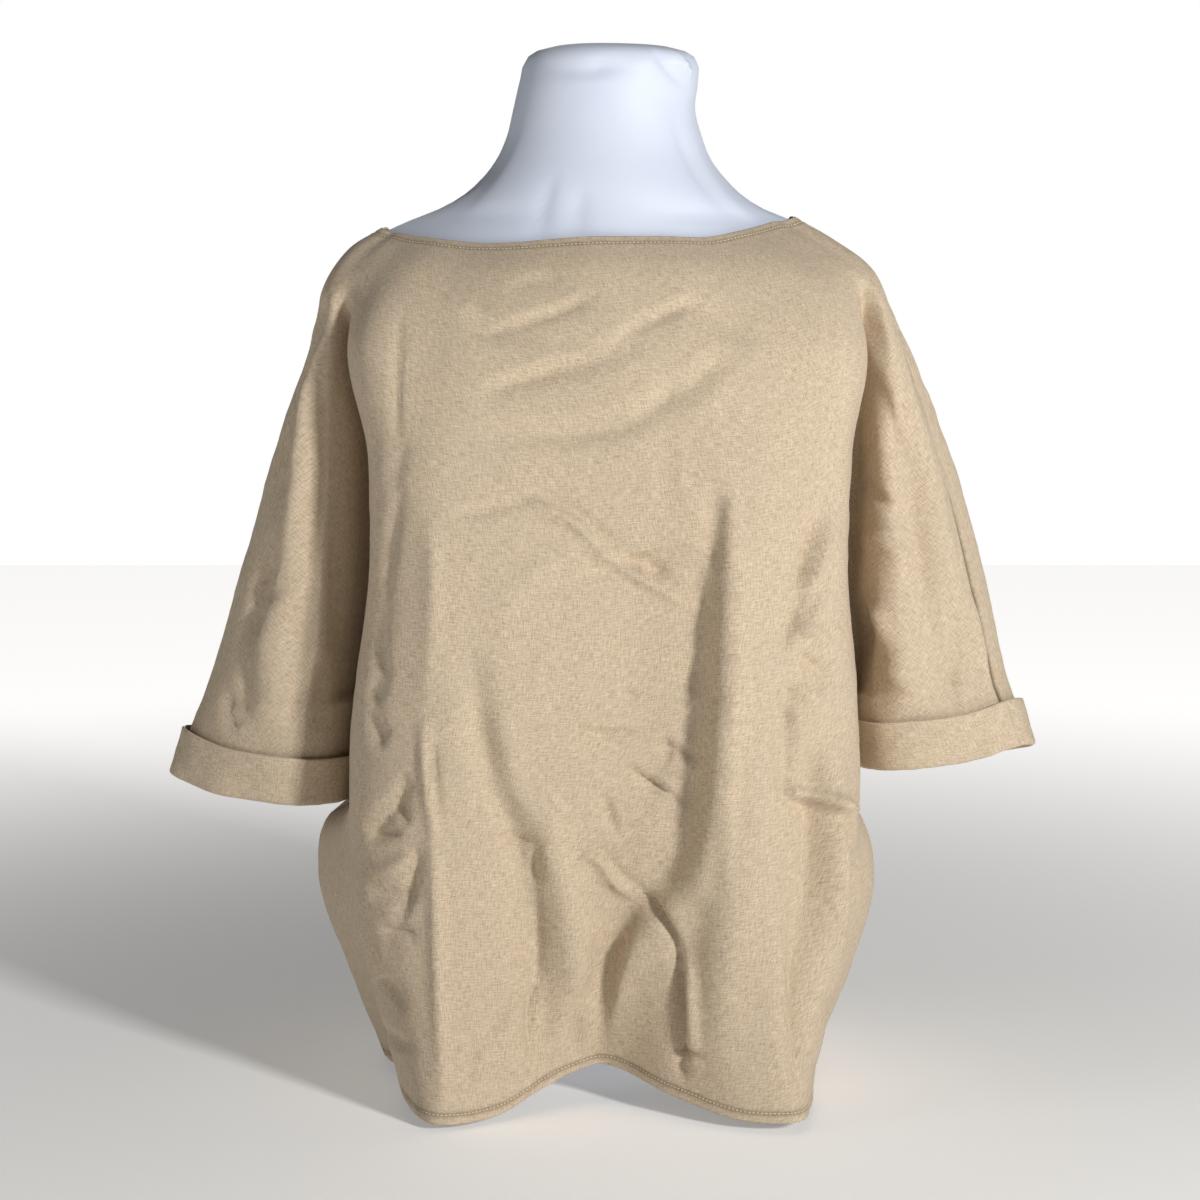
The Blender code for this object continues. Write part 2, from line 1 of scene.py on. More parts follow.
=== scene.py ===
"""Looks of a boat-neck blouse with cut-on short sleeves, worn by a limbless dress form.

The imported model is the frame.  Fine shells of cloth stand for its walls: they follow
the same level sections of the worn garment, with the folds, creases and seams that
show, and rows of topstitching on the neckline and the hem.

X runs to the wearer's left, -Y is the front and Z is up.  Tables are in millimetres,
with x measured outwards from the centre line and y from the shoulder line.
"""
from __future__ import annotations

import json
import logging
import math
from dataclasses import dataclass, field
from enum import Enum
from typing import NamedTuple, Sequence

import bmesh
import bpy
import numpy as np
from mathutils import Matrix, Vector, noise

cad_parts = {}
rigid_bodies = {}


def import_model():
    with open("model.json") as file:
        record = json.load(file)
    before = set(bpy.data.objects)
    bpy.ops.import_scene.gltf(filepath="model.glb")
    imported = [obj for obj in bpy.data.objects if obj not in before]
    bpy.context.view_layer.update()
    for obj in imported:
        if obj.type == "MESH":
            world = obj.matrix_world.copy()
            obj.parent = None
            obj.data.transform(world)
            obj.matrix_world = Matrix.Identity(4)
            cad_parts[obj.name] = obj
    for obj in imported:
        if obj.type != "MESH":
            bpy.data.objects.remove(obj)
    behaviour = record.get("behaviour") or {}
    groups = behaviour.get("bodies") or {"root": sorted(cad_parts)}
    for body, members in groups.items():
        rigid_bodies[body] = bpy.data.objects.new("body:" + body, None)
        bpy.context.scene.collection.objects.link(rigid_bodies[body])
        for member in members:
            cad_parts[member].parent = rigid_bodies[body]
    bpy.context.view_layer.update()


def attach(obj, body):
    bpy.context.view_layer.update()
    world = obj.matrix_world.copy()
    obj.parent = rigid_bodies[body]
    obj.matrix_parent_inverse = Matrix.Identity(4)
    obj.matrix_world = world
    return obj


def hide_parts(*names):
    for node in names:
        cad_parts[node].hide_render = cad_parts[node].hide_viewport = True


LOG = logging.getLogger("blouse")
MM = 0.001
SHOULDER_LINE_Y = -29.0       # mm, shoulder line in front of the foot's centre
WALL = 1.1                    # mm, thickness of the cloth
STITCH_INSET = 6.6            # mm, from an edge to its row of stitches
FAR = 1e3                     # mm, more than any point's distance from an edge
TINY = 1e-6                   # mm, keeps two equal points from dividing by nothing
HALFWAY = (0.5, 0.5)          # across and in depth
TURNED = [3, 2, 1, 0]         # a face's corners, run the other way
MIX_A, MIX_B, MIX_OUT = 6, 7, 2                  # a Mix node's colour sockets
RANDOM_MIN, RANDOM_MAX, RANDOM_OUT = 2, 3, 1     # a Random Value node's number sockets


class Wear(Enum):
    """The wearer's sides, as signs of X."""

    RIGHT = -1
    LEFT = 1


class Zone(Enum):
    """Parts of a panel that carry their own folds."""

    BODY = 0
    SLEEVE_RIGHT = 1
    SLEEVE_LEFT = 2


# ---- tables
class Arm(NamedTuple):
    """A sleeve's section: over-arm seam, back turn, folds and the valley to the body."""

    seam_x: float
    seam_y: float
    seam_z: float
    turn_x: float
    turn_y: float
    fold_x: float
    fold_y: float
    back_fold_y: float
    valley_x: float
    valley_y: float
    back_valley_y: float
    valley_z: float


class Front(NamedTuple):
    """One side of the body's front: edge, crest of the hem's lobe and the slope inside it.

    The slope starts at inner_x, where the cloth stands forward of the crest by swell.
    """

    edge_x: float
    edge_y: float
    edge_z: float
    crest_x: float
    crest_y: float
    crest_z: float
    inner_x: float
    swell: float


class Centre(NamedTuple):
    """The trough between the two lobes of the front."""

    x: float
    y: float
    z: float


class Seam(NamedTuple):
    """The body's side seam under an arm."""

    x: float
    y: float
    z: float


class Back(NamedTuple):
    """One side of the body's back: edge, ridge and centre."""

    edge_x: float
    edge_y: float
    edge_z: float
    ridge_x: float
    ridge_y: float
    centre_y: float
    centre_z: float


class Torso(NamedTuple):
    """A level section of the dress form, with its reach to each side, forward and back.

    tip_y is where its two ends lie.  thin is 0.5 for an ellipse, more for a leaner one.
    """

    z: float
    right: float
    left: float
    tip_y: float
    front: float
    back: float
    thin: float


class Crease(NamedTuple):
    """A crease through three points (mm from the centre line, mm up), and its form.

    width is half its breadth, height is positive for a ridge and negative for a trough,
    and lean raises one bank and lowers the other.  crisp is 2 for a soft round crease and
    nearer 1 for a pressed one.
    """

    x0: float
    z0: float
    x1: float
    z1: float
    x2: float
    z2: float
    width: float
    height: float
    lean: float
    crisp: float = 2.0


class CuffPoint(NamedTuple):
    """A point of the cuff's section: up the sleeve and out from its wall's middle."""

    up: float
    out: float


def table(kind: type, rows: Sequence[tuple]) -> tuple:
    """Rows of numbers as a table of one kind."""
    return tuple(kind(*row) for row in rows)


ARM = {
    Wear.RIGHT: table(Arm, (
        (157, 0, 618, 154, 5, 149, -13, 12, 143, -21, 18, 613),
        (180, 1, 604, 177, 12, 167, -29, 28, 161, -36, 36, 598),
        (193, 3, 588, 190, 17, 183, -36, 36, 176, -42, 42, 579),
        (209, 4, 541, 205, 24, 190, -43, 43, 179, -30, 30, 545),
        (236, 4, 460, 231, 30, 194, -52, 48, 165, -7, 8, 460),
        (264, 4, 365, 257, 32, 196, -56, 50, 165, -4, 5, 365),
        (291, 4, 280, 283, 32, 204, -55, 50, 175, -1.3, 1.3, 281),
        (315, 0, 221, 306, 26, 212, -50, 43, 187, -6, -6, 203),
    )),
    Wear.LEFT: table(Arm, (
        (140, 0, 626, 138, 5, 131, -14, 14, 124, -21, 21, 621),
        (168, 0, 610, 167, 9, 157, -28, 28, 150, -36, 36, 604),
        (195, -2, 590, 195, 12, 187, -36, 36, 180, -42, 42, 583),
        (214, -9, 541, 221, 8, 205, -46, 43, 187, -32, 30, 545),
        (241, -20, 460, 254, 5, 206, -51, 48, 180, -7, 8, 460),
        (268, -27, 365, 283, 5, 202, -54, 50, 177, -4, 5, 365),
        (288, -30, 284, 302, 4, 202, -53, 50, 184, -1.3, 1.3, 285),
        (305, -30, 246, 319, 2, 206, -51, 43, 187, -6, -6, 229),
    )),
}
FRONT = {
    Wear.RIGHT: table(Front, (
        (134, -30, 611, 88, -57, 604.5, 56, 10),
        (152, -48, 593, 98, -78, 586, 62, 10),
        (165, -56, 574, 106, -92, 565, 66, 9),
        (176, -62, 541, 112, -106, 535, 68, 8),
        (163, -68, 460, 122, -127, 458, 70, 5),
        (163, -70, 368, 120, -140, 366, 72, 4),
        (174, -66, 290, 120, -146, 286, 66, 2),
        (178, -65, 239, 119, -148, 236, 62, -3),
        (178, -66, 205, 119, -150, 203, 61, -7),
        (178, -66, 182, 118, -151, 180, 60, -9),
        (178, -68, 154, 118, -152, 151, 60, -13),
        (164, -66, 90, 116, -158, 82, 62, -17),
        (141, -62, 14, 114, -168, 5, 70, -21),
    )),
    Wear.LEFT: table(Front, (
        (115, -30, 618, 76, -57, 608.5, 44, 11),
        (141, -48, 600, 92, -77, 590, 56, 11),
        (172, -56, 578, 108, -91, 567, 62, 10),
        (186, -62, 541, 118, -106, 535, 70, 8),
        (177, -68, 460, 130, -121, 458, 88, 10),
        (175, -70, 368, 130, -131, 366, 94, 13),
        (182, -66, 290, 132, -138, 286, 95, 13),
        (184, -65, 239, 134, -140, 236, 95, 12),
        (184, -66, 205, 135, -142, 203, 94, 11),
        (183, -66, 182, 136, -144, 180, 92, 10),
        (177, -68, 154, 137, -147, 151, 90, 9),
        (159, -68, 88, 136, -158, 83, 92, 4),
        (149, -76, 7, 132, -172, 7, 104, -2),
    )),
}
CENTRE_FRONT = table(Centre, (
    (-7, -74, 608), (0, -95, 587), (8, -107, 565),
    (20, -118, 534), (44, -133, 456), (57, -133, 366),
    (50, -132, 287), (36, -129, 237), (28, -129, 205),
    (22, -128, 182), (17, -125, 154), (8, -113, 88), (-3, -101, 28),
))
SIDE_SEAM = {
    Wear.RIGHT: table(Seam, ((169, 0, 238), (175, 0, 205), (203, 0, 183), (209, 0, 148),
                 (188, -4, 80), (158, -14, 8))),
    Wear.LEFT: table(Seam, ((171, 0, 238), (177, 0, 208), (194, 0, 184), (203, 0, 146),
                (188, -4, 80), (154, -24, 6))),
}
BACK = table(Back, (
    (118, 40, 625, 66, 66, 76, 630),
    (143, 62, 604, 76, 86, 94, 609),
    (162, 72, 582, 84, 100, 108, 588),
    (174, 80, 543, 90, 114, 119, 544),
    (167, 86, 460, 95, 132, 130, 460),
    (168, 88, 366, 98, 138, 129, 366),
    (174, 84, 288, 100, 143, 129, 288),
    (174, 80, 237, 101, 146, 130, 237),
    (177, 80, 205, 102, 148, 131, 205),
    (182, 80, 182, 102, 149, 131, 182),
    (186, 80, 152, 102, 151, 132, 152),
    (174, 78, 84, 101, 155, 134, 84),
    (156, 74, 9, 100, 159, 136, 12),
))
TORSO = table(Torso, (
    (0, 118, 118, 29, -50, 108, 0.36),
    (40, 118, 118, 29, -50, 108, 0.36),
    (46, 126, 126, 29, -62, 112, 0.4),
    (58, 142, 141, 32, -78, 116, 0.44),
    (85, 158, 156, 34, -88, 122, 0.46),
    (140, 165, 163, 26, -96, 124, 0.45),
    (200, 157, 158, 20, -99, 119, 0.45),
    (265, 149, 151, 14, -99, 110, 0.45),
    (335, 146, 148, 10, -102, 104, 0.45),
    (400, 149, 153, 7, -110, 108, 0.45),
    (460, 154, 160, 4, -113, 112, 0.46),
    (494, 160, 166, 2, -110, 111, 0.48),
    (522, 171, 176, 2, -105, 107, 0.5),
    (547, 185, 189, 2, -98, 101, 0.54),
    (565, 193, 197, 1, -90, 94, 0.6),
    (580, 194, 197, 1, -83, 84, 0.7),
    (592, 188, 189, 1, -76, 77, 0.78),
    (604, 176, 173, 0, -68, 69, 0.92),
    (616, 155, 154, 0, -64, 61, 1.04),
    (624, 137, 138.5, 0, -62, 58, 1.06),
    (632, 117, 119, 3, -60, 60, 0.72),
    (643, 98, 102, 6, -58, 62, 0.56),
    (654, 86, 91, 8, -55, 64, 0.52),
    (667, 76, 81, 10, -51, 66, 0.5),
    (684, 68, 74, 11, -47, 67, 0.5),
    (704, 63, 69, 12, -45, 68, 0.5),
    (725, 58, 71, 12, -44, 68, 0.5),
    (738, 54, 70, 12, -41, 65, 0.5),
    (744.5, 47, 63, 12, -34, 58, 0.5),
    (747.5, 36, 52, 12, -23, 47, 0.5),
))

FRONT_CREASES = table(Crease, (
    (-76, 479, 9, 483, 48, 512, 9, -2, 1.5),         # folds across the chest
    (-81, 505, -10, 524, 25, 544, 9, -1, 0.9),
    (-80, 505, -41, 517, -4, 527, 3.4, -1.2, 1.2, 1.4),
    (-80, 543, -35, 556, -2, 571, 3.4, -1, 0.9, 1.4),
    (5, 536, 46, 558, 72, 565, 4.2, -1.1, 0.9, 1.5),
    (-58, 576, -42, 579, -25, 580, 3.2, -0.9, 0.6, 1.4),
    (-136, 556, -138, 510, -137, 468, 3.2, -0.8, 0.5, 1.4),
    (34, 498, 61, 510, 83, 529, 9, -1.6, 1),
    (-88, 560, -70, 548, -40, 541, 9, -1.2, 0.8),
    (60, 560, 84, 552, 104, 534, 9, -1.3, 0.6),
    (-99, 420, -71, 425, -46, 430, 3, -1.3, 0.7, 1.4),  # sharp line under the chest
    (-50, 431, -17, 416, 6, 391, 4.2, 1.2, -2.4, 1.6),  # lit ridge that runs on from it
    (0, 397, 30, 378, 66, 358, 4.6, 1.2, -2.2, 1.6),
    (-14, 379, 20, 388, 60, 396, 5, -1.6, 1.4, 1.6),
    (-66, 352, -40, 378, -12, 394, 7, 1.2, 0.8, 1.6),
    (32, 385, 39, 381, 46, 377, 3.8, -1.5, 0.3),
    (-134, 436, -142, 397, -147, 354, 6, -1.5, 0.6, 1.7),  # dark folds by the right arm
    (-146, 356, -151, 322, -143, 306, 6, -2.2, 0.6, 1.7),
    (-148, 304, -154, 295, -157, 287, 6, -2.2, 0.4),
    (-157, 287, -151, 269, -147, 263, 6, -2.2, 0.4),
    (-130, 470, -136, 452, -138, 432, 6, -0.8, 0.4),
    (-116, 416, -113, 369, -118, 289, 7, 1.6, 0, 1.5),  # the right lobe begins
    (14, 299, 20, 295, 26, 292, 3, -1.3, 0.4),       # small marks on the belly
    (-18, 272, 3, 269, 21, 270, 3.2, -2, 0.6, 1.4),
    (18, 246, 34, 235, 52, 222, 3.2, -1.5, 1.2, 1.5),
    (44, 268, 46, 258, 44, 246, 3.4, -0.8, 0.4, 1.5),
    (2, 226, 7, 213, 12, 199, 3.2, -1.6, 0.6, 1.5),
    (-14, 188, -2, 184, 7, 171, 3.6, 1.2, -2, 1.5),
    (4, 175, 14, 163, 25, 154, 3.8, 1.4, -2.2, 1.5),
    (158, 420, 146, 380, 130, 346, 3.6, 2, 1.6, 1.5),  # puckers by the left arm
    (150, 420, 140, 388, 132, 366, 3.4, -2.2, 0.8, 1.5),
    (146, 372, 134, 350, 126, 326, 3.6, -2.4, 1, 1.5),
    (152, 372, 146, 352, 136, 336, 3.6, 2, 0.8, 1.5),
    (128, 344, 145, 339, 158, 328, 4, 1.8, -0.8),
    (134, 322, 148, 316, 162, 300, 4.5, -2, 0.8),
    (130, 306, 142, 296, 158, 290, 4.5, 1.4, -0.6),
    (123, 289, 128, 282, 131, 274, 3.4, -1.4, 0.4),
    (128, 230, 151, 225, 180, 210, 4.5, 3.4, -1.2, 1.4),  # ridge beside the left elbow
    (130, 223, 151, 216, 170, 204, 4, -2.4, 0.8, 1.5),
    (167, 208, 175, 185, 185, 134, 5, -2.2, 1.6),
    (131, 306, 129, 250, 130, 190, 6.5, -2.4, 1, 1.6),  # long valley beside the lobe
    (131, 200, 137, 120, 139, 20, 9, -2.6, 2.4, 1.8),
    (150, 262, 153, 160, 142, 40, 13, 0, 7, 2.4),
    (84, 434, 82, 410, 80, 380, 9, -1, 2.2, 2.2),    # wall of the trough, unlit
    (82, 404, 77, 350, 75, 296, 16, 0, 4.6, 2.6),
    (76, 322, 73, 270, 66, 216, 18, 0, 5.2, 2.6),
    (69, 240, 62, 200, 52, 158, 18, 0, 4.8, 2.6),
    (56, 180, 46, 150, 36, 120, 16, -1, 3.2, 2.4),
    (86, 262, 76, 150, 60, 40, 24, 0, 3, 2.2),       # broad shade beside the lobe
    (97, 372, 95, 310, 93, 262, 6, 1.8, -0.6, 1.4),  # edge of the left lobe
    (93, 272, 90, 220, 88, 165, 6, 1.4, -0.6, 1.4),
    (46, 262, 40, 240, 34, 212, 9, -1.2, 0.6),
    (120, 306, 122, 280, 123, 241, 3.4, -1, 0.5),
    (40, 262, 52, 258, 66, 254, 4, -1, 0.6),
    (-114, 267, -112, 239, -110, 213, 3, -1.9, 0.6, 1.4),  # pressed edge of the right lobe
    (-119, 280, -116, 239, -112, 198, 4, 2.6, -0.4, 1.4),
    (-112, 206, -110, 120, -106, 14, 4.5, 3, -0.8, 1.4),
    (-88, 330, -80, 290, -72, 240, 10, -2.4, 0.6),   # dark side of the right lobe
    (-80, 290, -68, 240, -56, 204, 12, -1.8, 2.4, 2.2),
    (-60, 228, -50, 196, -40, 160, 12, -1.8, 2.3, 2.2),
    (-36, 236, -34, 214, -30, 190, 9, 1.8, 0),
    (-129, 238, -136, 222, -131, 208, 4.5, -2.6, 0.6, 1.6),  # crumple below the right arm
    (-135, 223, -147, 210, -160, 195, 5, -2.6, 0.8, 1.6),
    (-161, 195, -148, 200, -137, 203, 4, -2, 0.4),
    (-126, 186, -140, 176, -158, 172, 5, 1.8, -0.6),
    (-124, 164, -142, 156, -160, 158, 5, -1.6, 0.6),
    (-43, 195, -43, 178, -43, 159, 3, -1.8, 0.4, 1.3),  # pressed fold up the middle
    (-43, 161, -39, 117, -40, 91, 3, -1.6, 0.4, 1.3),
    (-40, 91, -45, 70, -44, 37, 3, -1.8, 0.6, 1.3),
    (-50, 206, -34, 124, -26, 26, 19, -1, 5.6, 2.4),
    (-58, 85, -68, 71, -79, 57, 5, -1.6, 0.6, 1.6),  # folds at the hem
    (-84, 64, -86, 48, -88, 30, 5, -1.2, 0.6),
    (-25, 64, -33, 57, -41, 50, 4, -1.2, 0.6),
    (25, 156, 47, 138, 53, 112, 3.6, -2.6, 1.8, 1.4),  # the left lobe laps the trough
    (53, 118, 57, 84, 58, 30, 3.6, -2.6, 1.8, 1.4),
    (60, 116, 64, 84, 66, 40, 4.5, 2, -0.8, 1.4),
    (46, 172, 18, 114, -4, 34, 15, 0, 3.8, 2.2),     # deep shade in the trough
    (28, 152, 14, 110, 2, 62, 9, 0, 2.4, 1.8),
    (-8, 92, -14, 66, -14, 38, 8, -1.6, 1.8, 1.8),
    (53, 51, 61, 50, 70, 51, 3, -1.4, 0.6),
    (88, 96, 104, 90, 122, 92, 4, -0.9, 0.4),
    (84, 60, 100, 55, 118, 56, 4, -0.8, 0.3),
    (-152, 134, -138, 135, -125, 135, 3.5, -1.4, 0.9, 1.4),  # level folds from the packing
    (-123, 192, -127, 164, -138, 136, 4, -1.6, 1.2, 1.5),
    (-152, 100, -143, 92, -134, 78, 6, -2, 0.8),
    (-150, 60, -140, 56, -128, 60, 5, -1.4, 0.6),
    (-91, 200, -58, 197, -23, 191, 3, -0.8, 0.5, 1.4),
    (70, 300, 92, 296, 120, 298, 3, -0.5, 0.3, 1.4),
    (170, 96, 160, 80, 150, 74, 4.5, -1.4, 0.6),
))
SLEEVE_RIGHT_CREASES = table(Crease, (
    (-203, 540, -213, 492, -221, 448, 6, 0, 3.4, 1.9),  # long fold down the arm
    (-219, 466, -226, 410, -238, 352, 8, 0, 4.6, 1.9),
    (-235, 372, -245, 320, -251, 262, 8, 0, 4.2, 1.9),
    (-200, 510, -205, 430, -214, 350, 8.5, 0, -4.4, 2),
    (-212, 366, -221, 316, -227, 260, 10, 0, -4.2, 2),
    (-196, 566, -200, 548, -204, 526, 5, -1.2, 0.6),
    (-224, 430, -232, 404, -236, 376, 7, 2, -0.8, 1.7),
    (-228, 392, -236, 360, -248, 326, 6, -2.2, 1.2, 1.6),
    (-240, 330, -252, 304, -260, 276, 7, 1.8, -0.8, 1.6),
    (-216, 372, -228, 356, -240, 350, 4.5, -1.6, 0.6, 1.5),
    (-214, 300, -226, 286, -240, 282, 4.5, 1.6, -0.6, 1.5),
    (-196, 310, -199, 286, -202, 258, 4.5, -2, 0.8, 1.6),
    (-265, 286, -266, 270, -262, 256, 3, -1.6, 0.8, 1.4),
    (-185, 530, -187, 410, -190, 270, 7, -3, 0, 1.8),  # slot beside the body
))
SLEEVE_LEFT_CREASES = table(Crease, (
    (198, 520, 210, 476, 222, 434, 7, -2.2, 1.4, 1.8),  # fold before the seam
    (220, 442, 230, 384, 242, 322, 7, -3, 1.8, 1.7),
    (240, 334, 249, 304, 256, 272, 7, -2.4, 1.4, 1.7),
    (202, 486, 207, 410, 214, 334, 7, 2.4, 0.4, 1.6),
    (213, 344, 218, 312, 224, 272, 7, 2.2, 0.4),
    (184, 530, 183, 410, 184, 280, 7, -3, 0, 1.8),   # slot beside the body
    (222, 500, 236, 420, 250, 352, 10, 0, 2.4, 2),   # soft shade before the seam
    (250, 362, 264, 328, 281, 288, 10, 0, 2.2, 2),
    (198, 350, 204, 315, 208, 268, 10, 0, 2.6, 2),   # the cloth turns in below
    (194, 356, 190, 322, 193, 284, 5, -2.4, 1.2, 1.6),
    (190, 350, 200, 338, 204, 318, 4.5, 2.6, -0.8, 1.5),
    (188, 440, 204, 424, 220, 404, 5, -1.8, 0.8, 1.6),
    (190, 398, 208, 392, 228, 378, 4.5, 1.6, -0.6, 1.5),
    (186, 548, 196, 528, 202, 500, 6, 1.4, -0.4),
    (250, 330, 258, 306, 250, 288, 5, -2, 0.8, 1.6),
    (206, 306, 216, 296, 230, 292, 4.5, 1.6, -0.6, 1.5),
))
BACK_CREASES = table(Crease, (
    (-70, 540, -10, 528, 44, 536, 10, -1.6, 0.9),    # soft slants below the yoke
    (-60, 492, 4, 498, 70, 480, 9, -1.4, 0.8),
    (30, 452, 60, 440, 92, 436, 4, -1.4, 0.5, 1.5),
    (-96, 446, -60, 432, -30, 408, 4.2, 1.8, -0.7, 1.5),
    (-34, 404, 0, 392, 26, 368, 4.2, 1.6, -0.7, 1.5),
    (-20, 372, 10, 380, 40, 384, 4.6, -1.8, 0.6, 1.6),
    (146, 470, 150, 420, 148, 366, 7, -2.6, 0.8, 1.7),  # folds by the left arm
    (147, 372, 152, 330, 146, 298, 7, -2.4, 0.8, 1.7),
    (-146, 460, -151, 412, -148, 352, 7, -2.4, -0.8, 1.7),
    (-148, 350, -152, 316, -145, 290, 6, -2.2, -0.6, 1.7),
    (104, 400, 106, 320, 104, 236, 9, 2.2, 0, 1.6),  # ridges down to the hem
    (104, 240, 103, 130, 101, 16, 8, 3, -0.4, 1.5),
    (-106, 380, -104, 300, -106, 226, 9, 2, 0, 1.6),
    (-106, 230, -104, 120, -102, 14, 8, 2.8, 0.4, 1.5),
    (62, 420, 58, 330, 62, 246, 10, -2.6, 1, 1.8),
    (62, 250, 56, 140, 58, 22, 10, -3.4, 1.2, 1.8),
    (-58, 360, -54, 290, -60, 216, 10, -2.2, -1, 1.8),
    (-60, 222, -52, 120, -54, 20, 10, -3.2, -1, 1.8),
    (4, 300, 2, 200, -2, 110, 4, -1.6, 0.4, 1.4),    # pressed fold up the middle
    (-2, 118, 2, 70, 0, 24, 4, -1.6, 0.4, 1.4),
    (20, 262, 34, 254, 50, 256, 3.6, -1.8, 0.5, 1.4),
    (-40, 240, -26, 226, -14, 208, 3.8, 1.8, -0.6, 1.4),
    (-130, 246, -146, 234, -160, 214, 5, -2.2, 0.8, 1.6),  # crumples below the arms
    (-128, 216, -144, 208, -162, 196, 4.5, 1.8, -0.6, 1.6),
    (134, 240, 150, 228, 168, 206, 5, -2.2, 0.8, 1.6),
    (128, 214, 146, 204, 164, 190, 4.5, 1.8, -0.6, 1.6),
    (-150, 140, -132, 134, -118, 140, 4, -1.4, 0.6, 1.5),
    (120, 128, 138, 122, 152, 130, 4, -1.4, 0.6, 1.5),
    (-86, 200, -40, 196, 10, 198, 3.4, -0.9, 0.4, 1.4),  # level fold from the packing
    (30, 84, 44, 70, 60, 62, 5, -1.6, 0.6),
    (-84, 80, -74, 64, -68, 44, 5, -1.6, 0.6),
))
SLEEVE_BACK_CREASES = table(Crease, (
    (-206, 520, -216, 460, -226, 396, 8, -2.8, 1.4, 1.7),
    (-226, 400, -238, 340, -250, 270, 9, -3.2, 1.6, 1.7),
    (-212, 400, -214, 340, -222, 268, 8, 2, 0, 1.6),
    (-196, 350, -200, 310, -198, 270, 6, -2, 0.6, 1.6),
    (-250, 350, -262, 320, -272, 284, 7, 1.6, -0.5),
    (-204, 476, -216, 462, -230, 456, 6, 1.4, -0.5),
    (208, 520, 218, 452, 228, 388, 8, -2.8, -1.4, 1.7),
    (228, 392, 240, 336, 254, 276, 9, -3.2, -1.6, 1.7),
    (212, 392, 216, 338, 222, 276, 8, 2, 0, 1.6),
    (198, 352, 202, 316, 200, 284, 6, -2, 0.6, 1.6),
    (256, 360, 268, 322, 280, 290, 7, 1.6, 0.5),
    (204, 448, 218, 434, 232, 430, 6, 1.4, 0.5),
))


# ---- curves
def cubic_weights(s: float | np.ndarray) -> tuple:
    """What a cubic's start, leaving slope, end and arriving slope count for at a share."""
    return 2 * s**3 - 3 * s**2 + 1, s**3 - 2 * s**2 + s, 3 * s**2 - 2 * s**3, s**3 - s**2


def hermite(values: np.ndarray, knots: np.ndarray, at: float) -> np.ndarray:
    """Read a smooth curve through rows of values at one place.

    Args:
        values: one row for each knot.
        knots: rising distances.
        at: the distance to read.

    Returns:
        The row there.
    """
    steps = np.diff(knots)
    slopes = np.diff(values, axis=0) / steps[:, None]
    bends = np.empty_like(values)
    bends[0], bends[-1] = slopes[0], slopes[-1]
    weight = steps[1:, None] / (steps[:-1] + steps[1:])[:, None]
    bends[1:-1] = weight * slopes[:-1] + (1 - weight) * slopes[1:]
    index = min(max(int(np.searchsorted(knots, at, side="right")) - 1, 0), len(steps) - 1)
    step = steps[index]
    start, leave, end, arrive = cubic_weights((at - knots[index]) / step)
    return (start * values[index] + leave * step * bends[index]
            + end * values[index + 1] + arrive * step * bends[index + 1])


def read_table(rows: Sequence[NamedTuple], columns: Sequence[str], place: float) -> NamedTuple:
    """A table's row at a place between sections, such as 2.5.

    Args:
        rows: the table.
        columns: the columns whose travel spaces the sections.
        place: where to read it.

    Returns:
        A row of the table's kind.
    """
    values = np.array(rows, dtype=float)
    track = np.array([[getattr(row, column) for column in columns] for row in rows])
    travel = np.linalg.norm(np.diff(track, axis=0), axis=1)
    knots = np.concatenate([[0.0], np.cumsum(travel)])
    index = min(int(place), len(rows) - 2)
    at = knots[index] + (place - index) * (knots[index + 1] - knots[index])
    return type(rows[0])(*hermite(values, knots, at))


def mixed(start: tuple, end: tuple, across: float, depth: float) -> tuple:
    """A point part of the way from start to end, with its height in between.

    Args:
        start: the first point.
        end: the second point.
        across: share of the way in X.
        depth: share of the way in Y.

    Returns:
        The point.
    """
    return (start[0] + (end[0] - start[0]) * across,
            start[1] + (end[1] - start[1]) * depth,
            start[2] + (end[2] - start[2]) * (across + depth) / 2)


def round_trip(points: Sequence[tuple], shares: Sequence[np.ndarray]) -> np.ndarray:
    """Smooth closed curve through points.

    Args:
        points: the named points, in order.
        shares: for each point, how far towards the next one the curve is sampled.

    Returns:
        The sampled curve.
    """
    knots = np.array(points, dtype=float)
    steps = np.roll(knots, -1, axis=0) - knots
    lengths = np.maximum(np.linalg.norm(steps, axis=1), TINY)[:, None]
    leaving = steps / lengths
    before = np.roll(lengths, 1, axis=0)
    tangents = (lengths * np.roll(leaving, 1, axis=0) + before * leaving) / (before + lengths)
    track = []
    for i, share in enumerate(shares):
        j = (i + 1) % len(knots)
        start, leave, end, arrive = cubic_weights(share[:, None])
        track.append(start * knots[i] + leave * lengths[i] * tangents[i]
                     + end * knots[j] + arrive * lengths[i] * tangents[j])
    return np.vstack(track)


def even(count: int) -> np.ndarray:
    """Even shares of a stretch, without its end."""
    return np.arange(count) / count


def packed_start(count: int, power: float) -> np.ndarray:
    """Shares of a stretch that crowd at its start, without its end."""
    return (np.arange(count) / count) ** power


def reversed_shares(share: np.ndarray) -> np.ndarray:
    """The same shares for the stretch run the other way."""
    return np.concatenate([[0.0], 1 - share[:0:-1]])


# ---- finishes
def linear(colour: str) -> tuple[float, float, float, float]:
    """An sRGB hex colour as linear light, by the curve of the sRGB standard.

    Args:
        colour: six hex digits, such as "c6b399".

    Returns:
        Red, green, blue and an alpha of 1.
    """
    parts = [int(colour[i:i + 2], 16) / 255 for i in (0, 2, 4)]
    light = [p / 12.92 if p <= 0.04045 else ((p + 0.055) / 1.055) ** 2.4 for p in parts]
    return (*light, 1.0)


